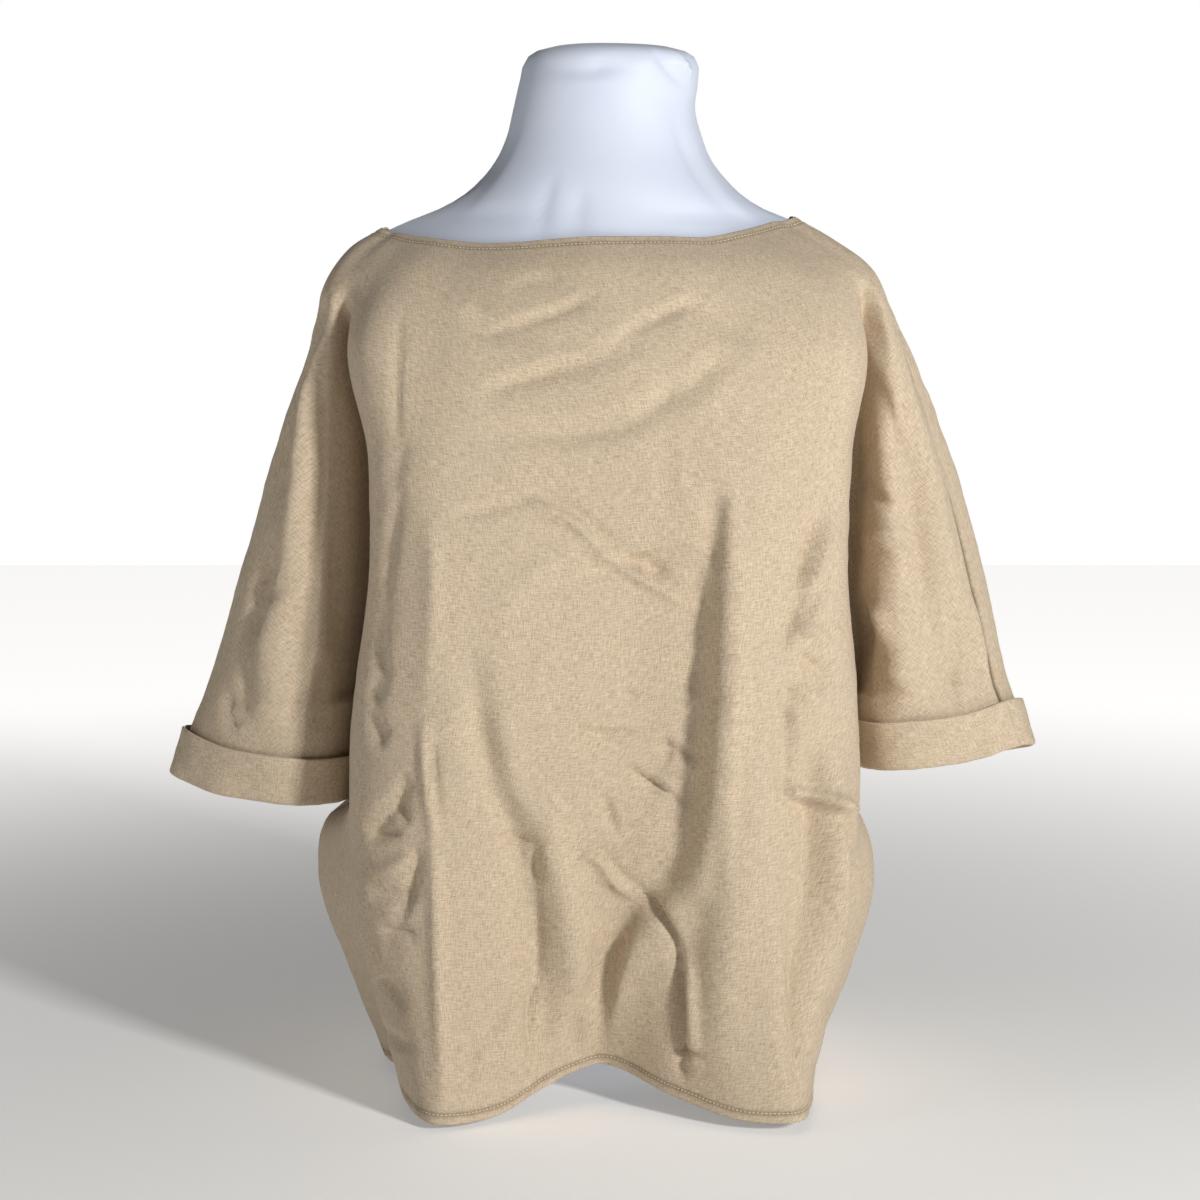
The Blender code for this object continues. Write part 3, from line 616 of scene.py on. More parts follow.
def wire(tree: bpy.types.NodeTree, node: bpy.types.Node, links: dict | None = None,
         values: dict | None = None) -> bpy.types.Node:
    """Set a node's values and feed its other inputs.

    Args:
        tree: the node tree.
        node: the node.
        links: input name or number to the output socket that feeds it.
        values: input name or number to its value.

    Returns:
        The node.
    """
    for name, value in (values or {}).items():
        node.inputs[name].default_value = value
    for name, socket in (links or {}).items():
        tree.links.new(socket, node.inputs[name])
    return node


def add_node(tree: bpy.types.NodeTree, kind: str, links: dict | None = None,
             values: dict | None = None, **settings: object) -> bpy.types.Node:
    """Add a node with its settings, values and incoming links.

    Args:
        tree: the node tree.
        kind: the node's type name.
        links: input name or number to the output socket that feeds it.
        values: input name or number to its value.
        settings: the node's own properties.

    Returns:
        The node.
    """
    node = tree.nodes.new(kind)
    for name, value in settings.items():
        setattr(node, name, value)
    return wire(tree, node, links, values)


def blank_material(name: str) -> tuple[bpy.types.Material, bpy.types.NodeTree, bpy.types.Node]:
    """Make a material that has only its shader.

    Args:
        name: the finish's name.

    Returns:
        The material, its node tree and its shader.
    """
    material = bpy.data.materials.new(name)
    material.use_nodes = True
    tree = material.node_tree
    return material, tree, tree.nodes["Principled BSDF"]


@dataclass(frozen=True)
class Linen:
    """Plain-woven linen and cotton, unbleached tan, washed and worn.

    Its threads vary in thickness and tone, so the cloth looks heathered, with short slubs along
    both threads, and it scatters light like any dry fibre: no gloss. The shade in its seams'
    hollows and beside its stitches is painted into its colour.
    """

    name: str = "linen_plain_weave"
    body: str = "c6b399"
    pale: str = "dac9b2"
    dark: str = "a9967a"
    grey: str = "b8aa96"
    painted_shade: str = "4f3c22"        # painted shade for the deep of a seam and beside the stitches
    thread_mm: float = 0.85       # real threads are near 0.5 mm, drawn as coarse as shows
    slub_mm: float = 7.0          # length of a slub along its thread
    warp_seed: float = 3.0        # where each thread is read from the noise
    weft_seed: float = 11.0
    thread_detail: float = 2.0
    thread_rough: float = 0.65
    fleck_scale: float = 0.9      # flecks to a thread's width
    fleck_detail: float = 1.0
    fleck_rough: float = 0.5
    fleck_share: float = 0.4      # how much the heathered flecks count beside a thread
    spread: float = 0.30          # how far the threads' tones spread
    cloud_mm: float = 34.0        # size of the patches that took the dye differently
    cloud_detail: float = 3.0
    cloud_rough: float = 0.6
    cloud_from: float = 0.38      # noise at which a patch starts to turn grey
    cloud_to: float = 0.72        # noise at which it is as grey as it gets
    cloud_share: float = 0.25     # how much of the grey that is
    roughness: float = 0.92
    sheen: float = 0.12
    specular: float = 0.2         # dry fibre mirrors little
    bump_mm: float = 0.3
    bump_strength: float = 0.55

    def make(self) -> bpy.types.Material:
        """Build the material on the piece's own UV map, whose unit is a metre.

        Returns:
            The material.
        """
        material, tree, shader = blank_material(self.name)
        uv = add_node(tree, "ShaderNodeUVMap", uv_map="cut").outputs["UV"]
        threads = []
        for along, across, seed in ((1, 0, self.warp_seed), (0, 1, self.weft_seed)):
            scale = [0.0, 0.0, 1.0]
            scale[along] = 1 / (self.slub_mm * MM)
            scale[across] = 1 / (self.thread_mm * MM)
            place = add_node(tree, "ShaderNodeMapping", {"Vector": uv},
                             {"Scale": scale, "Location": (seed, seed, seed)})
            threads.append(add_node(
                tree, "ShaderNodeTexNoise", {"Vector": place.outputs["Vector"]},
                {"Scale": 1.0, "Detail": self.thread_detail,
                 "Roughness": self.thread_rough}).outputs["Fac"])
        grain = add_node(tree, "ShaderNodeMapping", {"Vector": uv},
                         {"Scale": (1 / (self.thread_mm * MM),) * 3})
        flecks = add_node(tree, "ShaderNodeTexNoise", {"Vector": grain.outputs["Vector"]},
                          {"Scale": self.fleck_scale, "Detail": self.fleck_detail,
                           "Roughness": self.fleck_rough}).outputs["Fac"]
        cloud = add_node(tree, "ShaderNodeTexNoise", {"Vector": uv},
                         {"Scale": 1 / (self.cloud_mm * MM), "Detail": self.cloud_detail,
                          "Roughness": self.cloud_rough}).outputs["Fac"]
        weave = add_node(tree, "ShaderNodeMath", {0: threads[0], 1: threads[1]},
                         operation="ADD").outputs[0]
        weave = add_node(tree, "ShaderNodeMath", {0: flecks, 2: weave}, {1: self.fleck_share},
                         operation="MULTIPLY_ADD").outputs[0]
        middle = 1.0 + self.fleck_share / 2
        tone = add_node(tree, "ShaderNodeMapRange", {"Value": weave},
                        {"From Min": middle - self.spread,
                         "From Max": middle + self.spread}).outputs[0]
        ramp = add_node(tree, "ShaderNodeValToRGB", {"Fac": tone})
        stops = ramp.color_ramp.elements
        stops[0].position, stops[0].color = 0.0, linear(self.dark)
        stops[1].position, stops[1].color = 1.0, linear(self.pale)
        stops.new(0.5).color = linear(self.body)
        shift = add_node(tree, "ShaderNodeMapRange", {"Value": cloud},
                         {"From Min": self.cloud_from, "From Max": self.cloud_to,
                          "To Max": self.cloud_share}).outputs[0]
        mix = add_node(tree, "ShaderNodeMix", {"Factor": shift, MIX_A: ramp.outputs["Color"]},
                       {MIX_B: linear(self.grey)}, data_type="RGBA")
        bump = add_node(tree, "ShaderNodeBump", {"Height": weave},
                        {"Strength": self.bump_strength, "Distance": self.bump_mm * MM})
        # painted shade: the seams' hollows and the rows beside the stitches darken the base
        # colour
        shade_mask = add_node(tree, "ShaderNodeAttribute", attribute_name="painted_shade").outputs["Fac"]
        shaded = add_node(tree, "ShaderNodeMix", {"Factor": shade_mask, MIX_A: mix.outputs[MIX_OUT]},
                          {MIX_B: linear(self.painted_shade)}, data_type="RGBA")
        wire(tree, shader,
             {"Base Color": shaded.outputs[MIX_OUT], "Normal": bump.outputs["Normal"]},
             {"Roughness": self.roughness, "Sheen Weight": self.sheen,
              "Specular IOR Level": self.specular})
        return material


@dataclass(frozen=True)
class StretchCover:
    """Smooth polyester jersey in a cool white, stretched over the form: a faint rib."""

    name: str = "jersey_cover"
    body: str = "d5dcea"
    shade: str = "ccd4e4"
    wale_mm: float = 1.3          # real wales are near 0.8 mm, drawn as coarse as shows
    wale_detail: float = 1.0
    stretch: float = 0.2          # the pattern's scale up the form, beside that across it
    cloud_per_metre: float = 18.0      # patches of a slightly deeper tone
    cloud_detail: float = 2.0
    roughness: float = 0.55
    sheen: float = 0.2
    bump_mm: float = 0.1
    bump_strength: float = 0.25

    def make(self) -> bpy.types.Material:
        """Build the material on object coordinates.

        Returns:
            The material.
        """
        material, tree, shader = blank_material(self.name)
        here = add_node(tree, "ShaderNodeTexCoord").outputs["Object"]
        stretched = add_node(tree, "ShaderNodeMapping", {"Vector": here},
                             {"Scale": (1, 1, self.stretch)})
        wale = add_node(tree, "ShaderNodeTexNoise", {"Vector": stretched.outputs["Vector"]},
                        {"Scale": 1 / (self.wale_mm * MM),
                         "Detail": self.wale_detail}).outputs["Fac"]
        cloud = add_node(tree, "ShaderNodeTexNoise", {"Vector": here},
                         {"Scale": self.cloud_per_metre,
                          "Detail": self.cloud_detail}).outputs["Fac"]
        mix = add_node(tree, "ShaderNodeMix", {"Factor": cloud},
                       {MIX_A: linear(self.body), MIX_B: linear(self.shade)}, data_type="RGBA")
        bump = add_node(tree, "ShaderNodeBump", {"Height": wale},
                        {"Strength": self.bump_strength, "Distance": self.bump_mm * MM})
        wire(tree, shader,
             {"Base Color": mix.outputs[MIX_OUT], "Normal": bump.outputs["Normal"]},
             {"Roughness": self.roughness, "Sheen Weight": self.sheen})
        return material


@dataclass(frozen=True)
class SpunThread:
    """Spun polyester sewing thread, paler than the cloth, with a soft shine."""

    name: str = "spun_thread"
    body: str = "eadfc6"
    shade: str = "cfbd9a"
    twist_mm: float = 0.5
    roughness: float = 0.6

    def make(self) -> bpy.types.Material:
        """Build the material on object coordinates.

        Returns:
            The material.
        """
        material, tree, shader = blank_material(self.name)
        here = add_node(tree, "ShaderNodeTexCoord").outputs["Object"]
        twist = add_node(tree, "ShaderNodeTexNoise", {"Vector": here},
                         {"Scale": 1 / (self.twist_mm * MM)}).outputs["Fac"]
        tone = add_node(tree, "ShaderNodeMix", {"Factor": twist},
                        {MIX_A: linear(self.body), MIX_B: linear(self.shade)},
                        data_type="RGBA")
        wire(tree, shader, {"Base Color": tone.outputs[MIX_OUT]},
             {"Roughness": self.roughness})
        return material


@dataclass(frozen=True)
class GlowingFloor:
    """Matt pale floor paint: a large light surface that glows with painted light, faint near the
    blouse and brighter away from it.
    """

    name: str = "pale_floor"
    body: str = "f4f3f1"
    roughness: float = 0.9
    glow: float = 0.26            # painted glow near the blouse, where the shadow falls
    far_glow: float = 0.97        # painted glow where the floor runs out into the white
    near_metres: float = 0.3
    far_metres: float = 2.2

    def make(self) -> bpy.types.Material:
        """Build the material on object coordinates, its painted glow brighter away from the
        blouse.

        Returns:
            The material.
        """
        material, tree, shader = blank_material(self.name)
        here = add_node(tree, "ShaderNodeTexCoord").outputs["Object"]
        away = add_node(tree, "ShaderNodeVectorMath", {0: here}, operation="LENGTH")
        glow = add_node(tree, "ShaderNodeMapRange", {"Value": away.outputs["Value"]},
                        {"From Min": self.near_metres, "From Max": self.far_metres,
                         "To Min": self.glow, "To Max": self.far_glow},
                        interpolation_type="SMOOTHSTEP")
        wire(tree, shader, {"Emission Strength": glow.outputs[0]},
             {"Base Color": linear(self.body), "Roughness": self.roughness,
              "Emission Color": linear(self.body)})
        return material


# ---- worn form
@dataclass(frozen=True)
class WornBlouse:
    """Level sections of the worn blouse, read as smooth loops at any place."""

    underarm: int = 6             # section where the sleeves part from the body
    hem: int = 12                 # the last section
    back_neck_shift: tuple = (-8, -4, -1, 0)     # the back's first sections, off centre
    back_wave: float = 9.0        # depth of the small waves across the back's hem
    back_waves: float = 2.5
    ridge_height: float = 0.65    # share of the way from the edge's height to the centre's
    arm_back_drop: float = 12.0   # the sleeve's back below the underarm: drop and spread
    arm_turn_drop: float = 4.8
    arm_back_spread: float = 6.0
    fold_rise: float = 0.15       # share of the way from the valley's height to the seam's
    sleeve_round: tuple = (0.36, 0.77)           # shares across and in depth of each round
    lobe_round: tuple = (0.21, 0.62)
    neck_round: tuple = (0.42, 0.56)
    neck_sections: int = 3        # sections over which the neck's round becomes the lobe's
    slope: dict = field(default_factory=lambda: {Wear.RIGHT: (0.43, 0.56),
                                                 Wear.LEFT: (0.50, 0.42)})

    def arm_points(self, side: Wear, place: float) -> tuple[list, list]:
        """Named points of a sleeve's front and back at one section.

        Args:
            side: the wearer's side.
            place: a section, such as 2.5.

        Returns:
            Points of the front, then of the back, each from the over-arm seam to the valley.
        """
        row = read_table(ARM[side], ("seam_x", "seam_z"), place)
        seam = (row.seam_x, row.seam_y, row.seam_z)
        fold_z = row.valley_z + self.fold_rise * (row.seam_z - row.valley_z)
        fold = (row.fold_x, row.fold_y, fold_z)
        below = max(0.0, place - self.underarm)
        back_fold = (row.fold_x + self.arm_back_spread * below, row.back_fold_y,
                     fold_z - self.arm_back_drop * below)
        back_turn = (row.turn_x, row.turn_y, row.seam_z - self.arm_turn_drop * below)
        front = [seam, mixed(seam, fold, *self.sleeve_round), fold,
                 (row.valley_x, row.valley_y, row.valley_z)]
        back = [seam, back_turn, mixed(back_turn, back_fold, *self.sleeve_round), back_fold,
                (row.valley_x, row.back_valley_y, row.valley_z)]
        sign = side.value
        return [(sign * x, y, z) for x, y, z in front], [(sign * x, y, z) for x, y, z in back]

    def lobe_shares(self, place: float) -> list[float]:
        """How the body rounds its corners: flatter at the neckline, fuller below.

        Args:
            place: a section, such as 2.5.

        Returns:
            Shares across and in depth.
        """
        blend = min(place / self.neck_sections, 1.0)
        return [top + (low - top) * blend
                for top, low in zip(self.neck_round, self.lobe_round)]

    def front_points(self, side: Wear, place: float) -> list:
        """Named points of the body's front from its edge in to the centre.

        Args:
            side: the wearer's side.
            place: a section, such as 2.5.

        Returns:
            The points, without the centre itself.
        """
        row = read_table(FRONT[side], ("edge_x", "edge_z"), place)
        sign = side.value
        edge = (sign * row.edge_x, row.edge_y, row.edge_z)
        crest = (sign * row.crest_x, row.crest_y, row.crest_z)
        centre = read_table(CENTRE_FRONT, ("y", "z"), place)
        inner = (sign * row.inner_x, row.crest_y - row.swell, row.crest_z)
        return [edge, mixed(edge, crest, *self.lobe_shares(place)), crest, inner,
                mixed(inner, centre, *self.slope[side])]

    def back_points(self, side: Wear, place: float) -> tuple[list, tuple]:
        """Named points of the body's back from its edge in, and its centre.

        Args:
            side: the wearer's side.
            place: a section, such as 2.5.

        Returns:
            The points, then the centre.
        """
        row = read_table(BACK, ("edge_x", "edge_z"), place)
        shift = float(np.interp(place, range(len(self.back_neck_shift)), self.back_neck_shift))
        sign = side.value
        edge = (sign * row.edge_x + shift, row.edge_y, row.edge_z)
        ridge_z = row.edge_z + (row.centre_z - row.edge_z) * self.ridge_height
        ridge = (sign * row.ridge_x + shift, row.ridge_y, ridge_z)
        centre = (shift, row.centre_y, row.centre_z)
        return [edge, mixed(edge, ridge, *self.lobe_shares(place)), ridge,
                mixed(ridge, centre, *HALFWAY)], centre

    def side_point(self, side: Wear, place: float) -> tuple:
        """The body's side seam below the underarm.

        Args:
            side: the wearer's side.
            place: a section, such as 2.5.

        Returns:
            The point there.
        """
        arm = ARM[side][self.underarm]
        rows = (Seam(arm.valley_x, 0, arm.valley_z),) + SIDE_SEAM[side]
        row = read_table(rows, ("x", "z"), place - self.underarm)
        return (side.value * row.x, row.y, row.z)

    def loop_above(self, place: float, columns: Columns) -> tuple[np.ndarray, np.ndarray]:
        """Whole section above the underarm: the front row, then the back row.

        Args:
            place: a section, such as 2.5.
            columns: the grid's columns.

        Returns:
            Both rows, from the wearer's right to the left.
        """
        right_arm, right_back_arm = self.arm_points(Wear.RIGHT, place)
        left_arm, left_back_arm = self.arm_points(Wear.LEFT, place)
        centre = tuple(read_table(CENTRE_FRONT, ("y", "z"), place))
        row = right_arm + self.front_points(Wear.RIGHT, place) + [centre]
        row += self.front_points(Wear.LEFT, place)[::-1] + left_arm[::-1]
        right_back, back_centre = self.back_points(Wear.RIGHT, place)
        left_back, _ = self.back_points(Wear.LEFT, place)
        back_row = left_back_arm[1:] + left_back + [back_centre] + right_back[::-1]
        back_row += right_back_arm[:0:-1]
        front_shares = columns.there_and_back(columns.front_arm + columns.front_body)
        back_shares = columns.there_and_back(columns.back_arm + columns.back_body)
        track = round_trip(row + back_row, front_shares + back_shares)
        split = sum(len(s) for s in front_shares)
        return track[:split + 1], np.vstack([track[split:], track[:1]])[::-1]

    def loop_sleeve(self, side: Wear, place: float,
                    columns: Columns) -> tuple[np.ndarray, np.ndarray]:
        """A sleeve's section below the underarm, from over-arm seam to underarm seam.

        Args:
            side: the wearer's side.
            place: a section, such as 2.5.
            columns: the grid's columns.

        Returns:
            The front row and the back row.
        """
        arm, back_arm = self.arm_points(side, place)
        back_shares = [reversed_shares(s) for s in columns.back_arm[::-1]]
        track = round_trip(arm + back_arm[-2:0:-1], list(columns.front_arm) + back_shares)
        split = sum(len(s) for s in columns.front_arm)
        return track[:split + 1], np.vstack([track[split:], track[:1]])[::-1]

    def loop_body(self, place: float, columns: Columns) -> tuple[np.ndarray, np.ndarray]:
        """The body's section below the underarm: front and back, right to left.

        Args:
            place: a section, such as 2.5.
            columns: the grid's columns.

        Returns:
            The front row and the back row.
        """
        right_seam = self.side_point(Wear.RIGHT, place)
        left_seam = self.side_point(Wear.LEFT, place)
        centre = tuple(read_table(CENTRE_FRONT, ("y", "z"), place))
        row = [right_seam] + self.front_points(Wear.RIGHT, place) + [centre]
        row += self.front_points(Wear.LEFT, place)[::-1] + [left_seam]
        right_back, back_centre = self.back_points(Wear.RIGHT, place)
        left_back, _ = self.back_points(Wear.LEFT, place)
        back_row = left_back + [back_centre] + right_back[::-1]
        front_shares = columns.there_and_back(columns.front_body)
        back_shares = columns.there_and_back(columns.back_body)
        track = round_trip(row + back_row, front_shares + back_shares)
        split = sum(len(s) for s in front_shares)
        front, back = track[:split + 1], np.vstack([track[split:], track[:1]])[::-1].copy()
        fullness = (place - self.underarm) / (self.hem - self.underarm)
        across = (back[:, 0] - right_seam[0]) / (left_seam[0] - right_seam[0])
        back[:, 1] += (self.back_wave * fullness * np.sin(2 * np.pi * self.back_waves * across)
                       * np.sin(np.pi * across))
        return front, back


@dataclass(frozen=True)
class Columns:
    """Where the columns of a panel's grid lie between the named points of a section.

    The arm's shares run from the over-arm seam to the valley, and the body's from
    the valley, or the side seam, to the centre.
    """

    front_arm: tuple = (packed_start(11, 1.6), even(9), even(9))
    front_body: tuple = (packed_start(18, 1.35), even(13), even(16), even(18), even(17), even(19))
    back_arm: tuple = (packed_start(6, 1.4), even(9), even(8), even(9))
    back_body: tuple = (packed_start(22, 1.35), even(16), even(18), even(17), even(17))

    @staticmethod
    def there_and_back(shares: tuple) -> list[np.ndarray]:
        """Shares for one side, then the same ones run back down the other side."""
        return list(shares) + [reversed_shares(s) for s in shares[::-1]]


@dataclass(frozen=True)
class Rows:
    """How many rows of the grid lie in each span between sections."""

    spans: tuple = (0, 6, 11, 24, 27, 23, 16, 11, 8, 10, 20, 0)     # the ends have their own
    neck_shares: tuple = (0.03, 0.07, 0.11, 0.16, 0.21, 0.26, 0.31, 0.37, 0.44, 0.53, 0.63,
                          0.75, 0.87, 1.0)
    hem_even: int = 19            # even rows down to the turned hem
    hem_start: float = 0.84       # share of the last span above that hem
    hem_fine: int = 9             # rows in the turned hem
    sleeve: int = 18              # rows from the underarm to the sleeve's end

    def places(self, first: int, last: int) -> list[float]:
        """Where the rows lie from one section to another.

        Args:
            first: the upper section.
            last: the lower section.

        Returns:
            Each row's place.
        """
        found = [float(first)]
        for span in range(first, last):
            if span == 0:
                shares = self.neck_shares
            elif span == len(self.spans) - 1:
                upper = [self.hem_start * (i + 1) / self.hem_even for i in range(self.hem_even)]
                rest = 1 - self.hem_start
                shares = upper + [self.hem_start + rest * (i + 1) / self.hem_fine
                                  for i in range(self.hem_fine)]
            else:
                count = self.spans[span]
                shares = [(i + 1) / count for i in range(count)]
            found += [span + share for share in shares]
        return found


# ---- panels
@dataclass
class Panel:
    """A cloth panel as a grid of points with a slit up each side."""

    name: str
    points: np.ndarray
    faces: np.ndarray
    cut: np.ndarray               # each face corner's place on the flat cut, in mm
    zone: np.ndarray              # the value of each point's Zone
    seam_distance: np.ndarray     # mm along the cloth from the nearest seam
    neck_distance: np.ndarray     # mm from the neckline's edge
    hem_distance: np.ndarray      # mm from the hem's edge
    seams: np.ndarray             # numbers of the points on a seam
    sleeve_rows: dict             # for each side, point numbers below the underarm
    neck_lines: list              # rows of point numbers down from the neckline
    hem_lines: list               # rows of point numbers down to the hem
    normals: np.ndarray | None = None


@dataclass
class PanelCutter:
    """Lays a panel's grid out of rows of points, and its place on the flat cut."""

    lift_deg: float = 42.0        # the sleeve's grain lifts this far from the body's
    lift_start: float = 40.0      # mm down the valley, where it starts to lift
    lift_length: float = 190.0    # mm, over which it lifts
    points: list = field(default_factory=list)
    count: int = 0
    faces: list = field(default_factory=list)
    cut: list = field(default_factory=list)

    def add_row(self, row: np.ndarray) -> np.ndarray:
        """Add a row of points and return their numbers.

        Args:
            row: the row's points.

        Returns:
            The numbers.
        """
        numbers = np.arange(self.count, self.count + len(row))
        self.points.append(row)
        self.count += len(row)
        return numbers

    def strip(self, lines: np.ndarray, flat: np.ndarray, flip: bool = False) -> None:
        """Fill rows with four-sided faces and their places on the cut.

        Args:
            lines: point numbers, rows by columns.
            flat: places on the cut, rows by columns by two.
            flip: whether the columns run from the wearer's left to the right.
        """
        corners = [(slice(None, -1), slice(None, -1)), (slice(1, None), slice(None, -1)),
                   (slice(1, None), slice(1, None)), (slice(None, -1), slice(1, None))]
        if flip:
            corners = corners[::-1]
        self.faces.append(np.stack([lines[c] for c in corners], axis=-1).reshape(-1, 4))
        self.cut.append(np.stack([flat[c] for c in corners], axis=-2).reshape(-1, 4, 2))

    @staticmethod
    def travel(points: np.ndarray, axis: int) -> np.ndarray:
        """Distance travelled along the rows (axis 1) or down the columns (axis 0).

        Args:
            points: rows by columns by three.
            axis: which way to travel.

        Returns:
            The distance of each point.
        """
        steps = np.linalg.norm(np.diff(points, axis=axis), axis=2)
        start = np.zeros_like(np.take(steps, [0], axis=axis))
        return np.cumsum(np.concatenate([start, steps], axis=axis), axis=axis)

    def body_flat(self, points: np.ndarray, start_v: np.ndarray) -> np.ndarray:
        """Places on the cut of the body's points, from its centre line out.

        Args:
            points: rows by columns by three.
            start_v: height on the cut of each column's top.

        Returns:
            Places on the cut.
        """
        across = self.travel(points, 1)
        across -= across[:, [across.shape[1] // 2]]
        down = self.travel(points, 0)
        return np.stack([across, start_v[None, :] - down], axis=-1)

    def sleeve_flat(self, points: np.ndarray, start: np.ndarray, sign: int) -> np.ndarray:
        """Places on the cut of a sleeve's points, whose first column is the valley.

        Args:
            points: rows by columns by three.
            start: the first point's place on the cut.
            sign: which way the sleeve runs.

        Returns:
            Places on the cut.
        """
        down = self.travel(points, 0)[:, 0]
        out = self.travel(points, 1)
        share = np.clip((down - self.lift_start) / self.lift_length, 0, 1)
        angle = np.radians(self.lift_deg) * share**2 * (3 - 2 * share)
        steps = np.diff(down)[:, None]
        middle = (angle[:-1] + angle[1:]) / 2
        run = np.stack([sign * np.sin(middle), -np.cos(middle)], axis=-1) * steps
        line = start + np.concatenate([[[0.0, 0.0]], np.cumsum(run, axis=0)])
        side = np.stack([sign * np.cos(angle), np.sin(angle)], axis=-1)
        return line[:, None] + out[..., None] * side[:, None]


def make_panel(name: str, upper: np.ndarray, sleeves: dict, body: np.ndarray,
               arm_width: int) -> Panel:
    """Join the upper rows, the sleeves' rows and the body's rows into one panel.

    Args:
        name: the panel's name.
        upper: rows above the underarm, right sleeve to left sleeve.
        sleeves: for each side, rows below the underarm from over-arm seam to valley.
        body: rows of the body below the underarm.
        arm_width: columns from the over-arm seam to the valley.

    Returns:
        The panel.
    """
    cutter = PanelCutter()
    width = upper.shape[1]
    body_columns = slice(arm_width, width - arm_width)
    above = np.stack([cutter.add_row(row) for row in upper])
    below = np.stack([above[-1, body_columns]] + [cutter.add_row(row) for row in body])
    flat = cutter.body_flat(upper, upper[0, :, 2])
    cutter.strip(above[:, body_columns], flat[:, body_columns])
    body_points = np.concatenate([upper[-1:, body_columns], body])
    cutter.strip(below, cutter.body_flat(body_points, flat[-1, body_columns, 1]))
    sleeve_rows, zone_marks, seam_lines = {}, [], [above[:, 0], above[:, -1]]
    for side, rows in sleeves.items():
        right = side is Wear.RIGHT
        valley = arm_width if right else width - arm_width - 1
        columns = slice(valley, None, -1) if right else slice(valley, width)
        whole = np.concatenate([above[:, columns],
                                np.stack([cutter.add_row(row) for row in rows])[:, ::-1]])
        shape = np.concatenate([upper[:, columns], rows[:, ::-1]])
        cutter.strip(whole, cutter.sleeve_flat(shape, flat[0, valley], side.value), flip=right)
        sleeve_rows[side] = whole[len(upper) - 1:, ::-1]
        zone_marks.append((whole[:, 1:], Zone.SLEEVE_RIGHT if right else Zone.SLEEVE_LEFT))
        seam_lines += [whole[len(upper):, 0], whole[len(upper):, -1]]
    seam_lines += [below[1:, 0], below[1:, -1]]
    points = np.vstack(cutter.points)
    zone = np.full(len(points), Zone.BODY.value)
    for numbers, mark in zone_marks:
        zone[numbers.ravel()] = mark.value
    far = np.full(len(points), FAR)
    panel = Panel(name=name, points=points, faces=np.vstack(cutter.faces),
                  cut=np.vstack(cutter.cut), zone=zone, seam_distance=far.copy(),
                  neck_distance=far.copy(), hem_distance=far.copy(),
                  seams=np.concatenate(seam_lines), sleeve_rows=sleeve_rows,
                  neck_lines=list(above), hem_lines=list(below))
    mark_distances(panel, above, below)
    return panel


def mark_distances(panel: Panel, above: np.ndarray, below: np.ndarray) -> None:
    """Measure each point's distance from the seams, the neckline and the hem.

    Args:
        panel: the panel, whose distances are filled in.
        above: point numbers above the underarm, rows by columns.
        below: the body's point numbers from the underarm down.
    """
    for numbers in (above, below):
        out = PanelCutter.travel(panel.points[numbers], 1)
        near = np.minimum(out, out[:, [-1]] - out)
        if numbers is below:
            near[0] = FAR             # this row is the last of those above
        panel.seam_distance[numbers] = np.minimum(panel.seam_distance[numbers], near)
    for rows in panel.sleeve_rows.values():
        out = PanelCutter.travel(panel.points[rows[1:]], 1)
        panel.seam_distance[rows[1:]] = np.minimum(out, out[:, [-1]] - out)
    panel.neck_distance[above] = PanelCutter.travel(panel.points[above], 0)
    panel.hem_distance[below] = PanelCutter.travel(panel.points[below[::-1]], 0)[::-1]


def face_normals(panel: Panel) -> np.ndarray:
    """Each face's normal, as long as twice the face's area."""
    corners = panel.points[panel.faces]
    return np.cross(corners[:, 2] - corners[:, 0], corners[:, 3] - corners[:, 1])


def summed_normals(panel: Panel, flip: bool) -> np.ndarray:
    """Each point's summed face normals, turned to face out of the garment.

    Args:
        panel: the panel.
        flip: whether its faces' own order points inwards.

    Returns:
        One normal for each point.
    """
    normal = face_normals(panel) * (-1 if flip else 1)
    sums = np.zeros_like(panel.points)
    for i in range(4):
        np.add.at(sums, panel.faces[:, i], normal)
    return sums


def share_seam_normals(front: Panel, back: Panel, keys_per_mm: int = 100) -> None:
    """Give both panels unit normals that agree along their shared seams.

    Args:
        front: the front.
        back: the back.
        keys_per_mm: how finely two points are told apart.
    """
    sums = [summed_normals(front, False), summed_normals(back, True)]
    shared: dict[tuple, np.ndarray] = {}
    keys = []
    for panel, total in zip((front, back), sums):
        here = [tuple(k) for k in np.rint(panel.points[panel.seams] * keys_per_mm).astype(int)]
        keys.append(here)
        for number, key in zip(panel.seams, here):
            shared[key] = shared.get(key, 0) + total[number]
    for panel, total, here in zip((front, back), sums, keys):
        for number, key in zip(panel.seams, here):
            total[number] = shared[key]
        panel.normals = total / np.linalg.norm(total, axis=1)[:, None]


